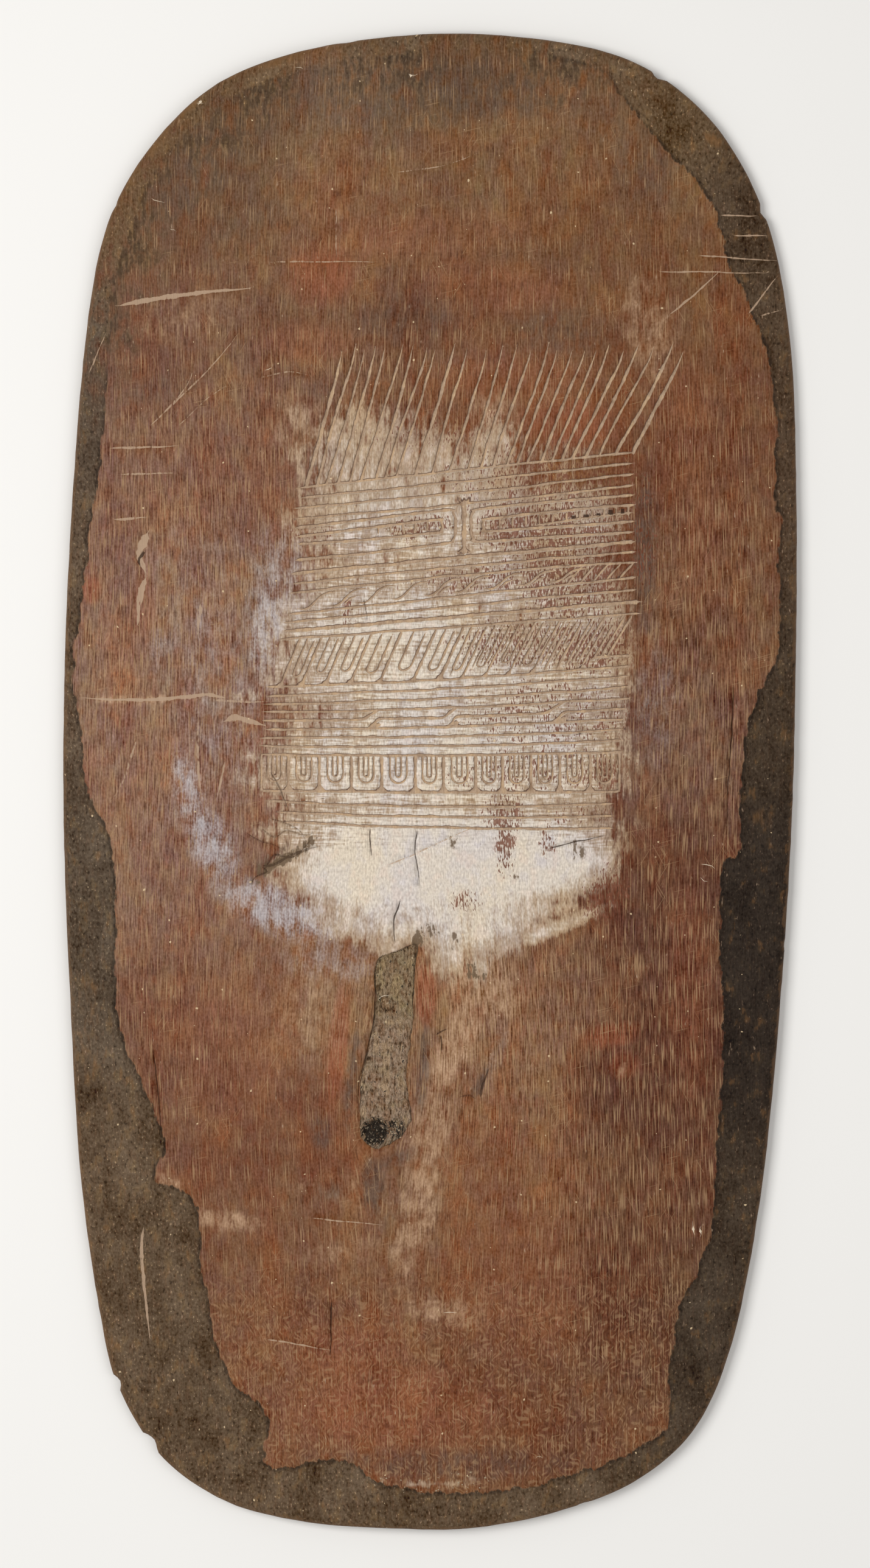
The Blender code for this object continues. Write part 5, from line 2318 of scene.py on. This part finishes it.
@dataclass(frozen=True)
class KnotBark:
    """Weathered bark left in a branch scar: grey-brown flakes, with fissures and a black pit."""

    flake: Place = (1.9, 6.0)
    lip: Mask = Mask("knot", 0.3, 0.7, 1.0, (("flakes", 0.08),))
    bark: Coat = Coat(
        "967e68", 0.88, (), (("cloud", 0.12), ("grit", 0.16), ("flakes", 0.16), ("dash", 0.1)), (
            ("height", -170.0, -148.0, 1.0, (0.88, 0.89, 0.8)), ("patch", 0.0, 1.6, 0.6, OLIVE),
            ("cloud", 0.0, -1.6, 0.6, RED), ("cloud", 0.0, 1.6, 0.6, GOLDEN)))
    parts: tuple[Coat, ...] = (
        Coat("3d3023", 0.9, (Mask("flakes", -1.3, -2.4, 0.75),)),
        # painted shade: a broken dark ring just inside the scar's lip, where its bank drops away
        Coat("3d3023", 0.9, (Mask("knot", 1.0, 0.6), Mask("patch", -2.4, 0.0, 0.95))),
        Coat("a5957e", 0.8, (Mask("pit", 0.02, 0.2), Mask("grit", 0.0, 1.2, 0.8))),
        Coat("1c1713", 0.5, (Mask("pit", 0.38, 0.66, 0.95, (("flakes", 0.18), ("grit", 0.18))),)),
        Coat("a5957e", 0.6, (Mask("pit", 0.3, 0.6), Mask("grit", 1.1, 2.0, 0.6))),
    )

    def over(self, palette: Palette, coat: Coat) -> Coat:
        """Lays the bark, its fissures, its lip, and its pit with crumbs and glints, over a coat.

        Args:
            palette: the shader's fields.
            coat: what lies under it.

        Returns:
            What they show together.
        """
        palette.fields["flakes"] = palette.noise("place", self.flake, 20, 3)
        bark = palette.lay(self.bark, *self.parts)
        return palette.lay(coat, Coat(bark.colour, bark.roughness, (self.lip,)))


@dataclass(frozen=True)
class ClaySpecks:
    """Dots of pale clay spattered over the board, each in a cell of its own.

    Real dots are half a millimetre wide and up: here the smallest are left out, and the largest
    are 1.7 mm.
    """

    pitch: float = 20.0
    fewest: float = 0.7
    largest: float = 0.042
    raggedness: float = 0.009
    softness: float = 0.01
    colour: str = "d3ba94"
    roughness: float = 0.8
    strength: float = 0.85

    def over(self, palette: Palette, coat: Coat) -> Coat:
        """Lays the specks over a coat.

        Args:
            palette: the shader's fields.
            coat: what lies under them.

        Returns:
            What they show together.
        """
        cell = palette.add(
            "ShaderNodeTexVoronoi", {"Vector": "place", "Scale": 1 / self.pitch}, voronoi_dimensions="2D")
        chance = palette.add("ShaderNodeSeparateXYZ", [cell.node.outputs["Color"]])
        radius = palette.add("ShaderNodeMapRange", [chance, self.fewest, 1.0, 0.0, self.largest])
        inner = palette.add(MATH, [radius, cell], operation="SUBTRACT")
        dot = Mask(inner, 0.0, self.softness, self.strength, (("grit", self.raggedness),))
        return palette.lay(coat, Coat(self.colour, self.roughness, (dot,)))


@dataclass(frozen=True)
class HandledHardwood:
    """The front's whole finish: smoked hardwood, limed, carved, handled and scarred."""

    name: str = "smoked_limed_hardwood"
    specular: float = 0.12
    border_relief: float = 0.06
    fibre_relief: float = 0.04
    flake_relief: float = 0.45

    def material(self) -> bpy.types.Material:
        """Lays every coat in order.

        Returns:
            A material for the board, which reads the levels that its mesh carries.
        """
        palette = Palette(self.name)
        coat = SootyBorder().over(palette, BareWood().coat(palette))
        coat = palette.lay(Lime().over(palette, coat), SHEEN_BLOOM_COAT)
        for layer in (KnotBark(), CarvedMarks(), ClaySpecks()):
            coat = layer.over(palette, coat)
        rough = palette.times(palette.between("border", -1.0, 1.0, self.border_relief), "grit")
        bark = palette.times("flakes", "knot")
        height = palette.moved(rough, ("fibre", self.fibre_relief), (bark, self.flake_relief))
        return palette.finish(coat, height, self.specular)


@dataclass(frozen=True)
class PlainBack:
    """The back: the same wood left plain, with adze facets, long fibres and a rim worn lighter."""

    name: str = "adzed_hardwood_back"
    specular: float = 0.2
    wood: Coat = Coat(
        "65462f", 0.55, (),
        (("broad", 0.14), ("strand", 0.08), ("fibre", 0.1), ("cloud", 0.07), ("grit", 0.05)), (
            ("broad", 0.2, 1.8, 0.8, RED), ("drift", 0.2, 1.8, 0.8, OLIVE),
            ("cloud", 0.4, 1.8, 0.6, GOLDEN)))
    worn: Coat = Coat("8a6444", 0.5, (Mask("rim", 8.0, 0.0, 0.5, (("fibre", 1.0), ("cloud", 1.5))),))
    relief: Mix = (("fibre", 0.08), ("grit", 0.05))

    def material(self) -> bpy.types.Material:
        """The back's material.

        Returns:
            A material that reads the rim's level from the mesh.
        """
        palette = Palette(self.name)
        coat = palette.lay(self.wood, self.worn)
        return palette.finish(coat, palette.moved(0.0, *self.relief), self.specular)


@dataclass(frozen=True)
class DryClay:
    """Pale crumbs of dried clay: dull, chalky and a little uneven in tone."""

    name: str = "dry_pale_clay"
    colour: str = "b9a68c"
    shade: str = "8c775e"
    roughness: float = 0.9
    specular: float = 0.2
    patch: float = 2.5

    def material(self) -> bpy.types.Material:
        """The crumbs' material.

        Returns:
            A material whose two tones lie in patches.
        """
        dressing = Dressing(self.name)
        place = dressing.add("ShaderNodeTexCoord", out="Object")
        noise = dressing.add("ShaderNodeTexNoise", {"Vector": place, "Scale": 1 / (self.patch * MM)})
        tones = {SHARE: noise, COLOUR_A: linear(self.shade), COLOUR_B: linear(self.colour)}
        colour = dressing.add(MIX, tones, **OF_COLOURS)
        return dressing.dress({
            "Base Color": colour, "Roughness": self.roughness, "Specular IOR Level": self.specular})


# The studio


@dataclass(frozen=True)
class Studio:
    """A pale floor, soft light from the upper left, and a camera straight above the board."""

    low: Vector
    high: Vector
    floor_name: str = "matt_white_paper"
    floor_colour: str = "f0eeea"
    floor_roughness: float = 0.9
    floor_specular: float = 0.1
    floor_size: float = 8.0
    gap: float = 0.0004
    camera_height: float = 3.0
    camera_aim: Place = (0.0036, -0.0018)
    view_length: float = 1.148
    sensor: float = 36.0
    clip: Place = (0.1, 20.0)
    key_place: tuple[float, float, float] = (-1.7, 0.3, 2.6)
    key_size: float = 1.6
    key_power: float = 62.0
    fill_place: tuple[float, float, float] = (1.6, -0.4, 3.0)
    fill_size: float = 2.6
    fill_power: float = 31.0
    sky: str = "ffffff"
    sky_strength: float = 0.35

    def build(self) -> None:
        """Makes the floor, the lights, the sky and the camera."""
        scene = bpy.context.scene
        scene.view_settings.view_transform = "Standard"
        self.floor()
        self.light("key", self.key_place, self.key_size, self.key_power)
        self.light("fill", self.fill_place, self.fill_size, self.fill_power)
        world = bpy.data.worlds.new("studio")
        world.use_nodes = True
        background = world.node_tree.nodes["Background"]
        background.inputs["Color"].default_value = linear(self.sky)
        background.inputs["Strength"].default_value = self.sky_strength
        scene.world = world
        lens = bpy.data.cameras.new("camera")
        lens.sensor_width = self.sensor
        lens.lens = self.sensor * self.camera_height / self.view_length
        lens.clip_start, lens.clip_end = self.clip
        camera = bpy.data.objects.new("camera", lens)
        camera.location = (*self.camera_aim, self.high.z + self.camera_height)
        scene.collection.objects.link(camera)
        scene.camera = camera

    def floor(self) -> None:
        """Lays the floor just under the board."""
        half, height = self.floor_size / 2, self.low.z - self.gap
        corners = [(-half, -half, height), (half, -half, height), (half, half, height), (-half, half, height)]
        mesh = bpy.data.meshes.new("floor")
        mesh.from_pydata(corners, [], [(0, 1, 2, 3)])
        mesh.materials.append(Dressing(self.floor_name).dress({
            "Base Color": linear(self.floor_colour), "Roughness": self.floor_roughness,
            "Specular IOR Level": self.floor_specular}))
        floor = bpy.data.objects.new("floor", mesh)
        bpy.context.scene.collection.objects.link(floor)

    def light(self, name: str, place: tuple[float, float, float], size: float, power: float) -> None:
        """Hangs a square soft light that faces the board.

        Args:
            name: what it is called.
            place: where it hangs.
            size: the length of its side.
            power: its power in watts.
        """
        lamp = bpy.data.lights.new(name, "AREA")
        lamp.shape, lamp.size, lamp.energy = "SQUARE", size, power
        light = bpy.data.objects.new(name, lamp)
        light.location = place
        light.rotation_euler = (-Vector(place)).to_track_quat("-Z", "Y").to_euler()
        bpy.context.scene.collection.objects.link(light)


def main() -> None:
    """Builds the board and the studio."""
    logging.basicConfig(level=logging.INFO, format="%(name)s: %(message)s")
    low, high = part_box(NODE)
    board = Board(low, high)
    finishes = {"Finish": HandledHardwood(), "Back finish": PlainBack(), "Crumb finish": DryClay()}
    made = board.build({name: finish.material() for name, finish in finishes.items()})
    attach(made, BODY)
    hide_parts(NODE)
    log.info("%s: %d strokes, %d faces", made.name, len(board.strokes), len(made.data.polygons))
    Studio(low, high).build()
    log.info("studio: floor, two lights and the camera")


if __name__ == "__main__":
    main()
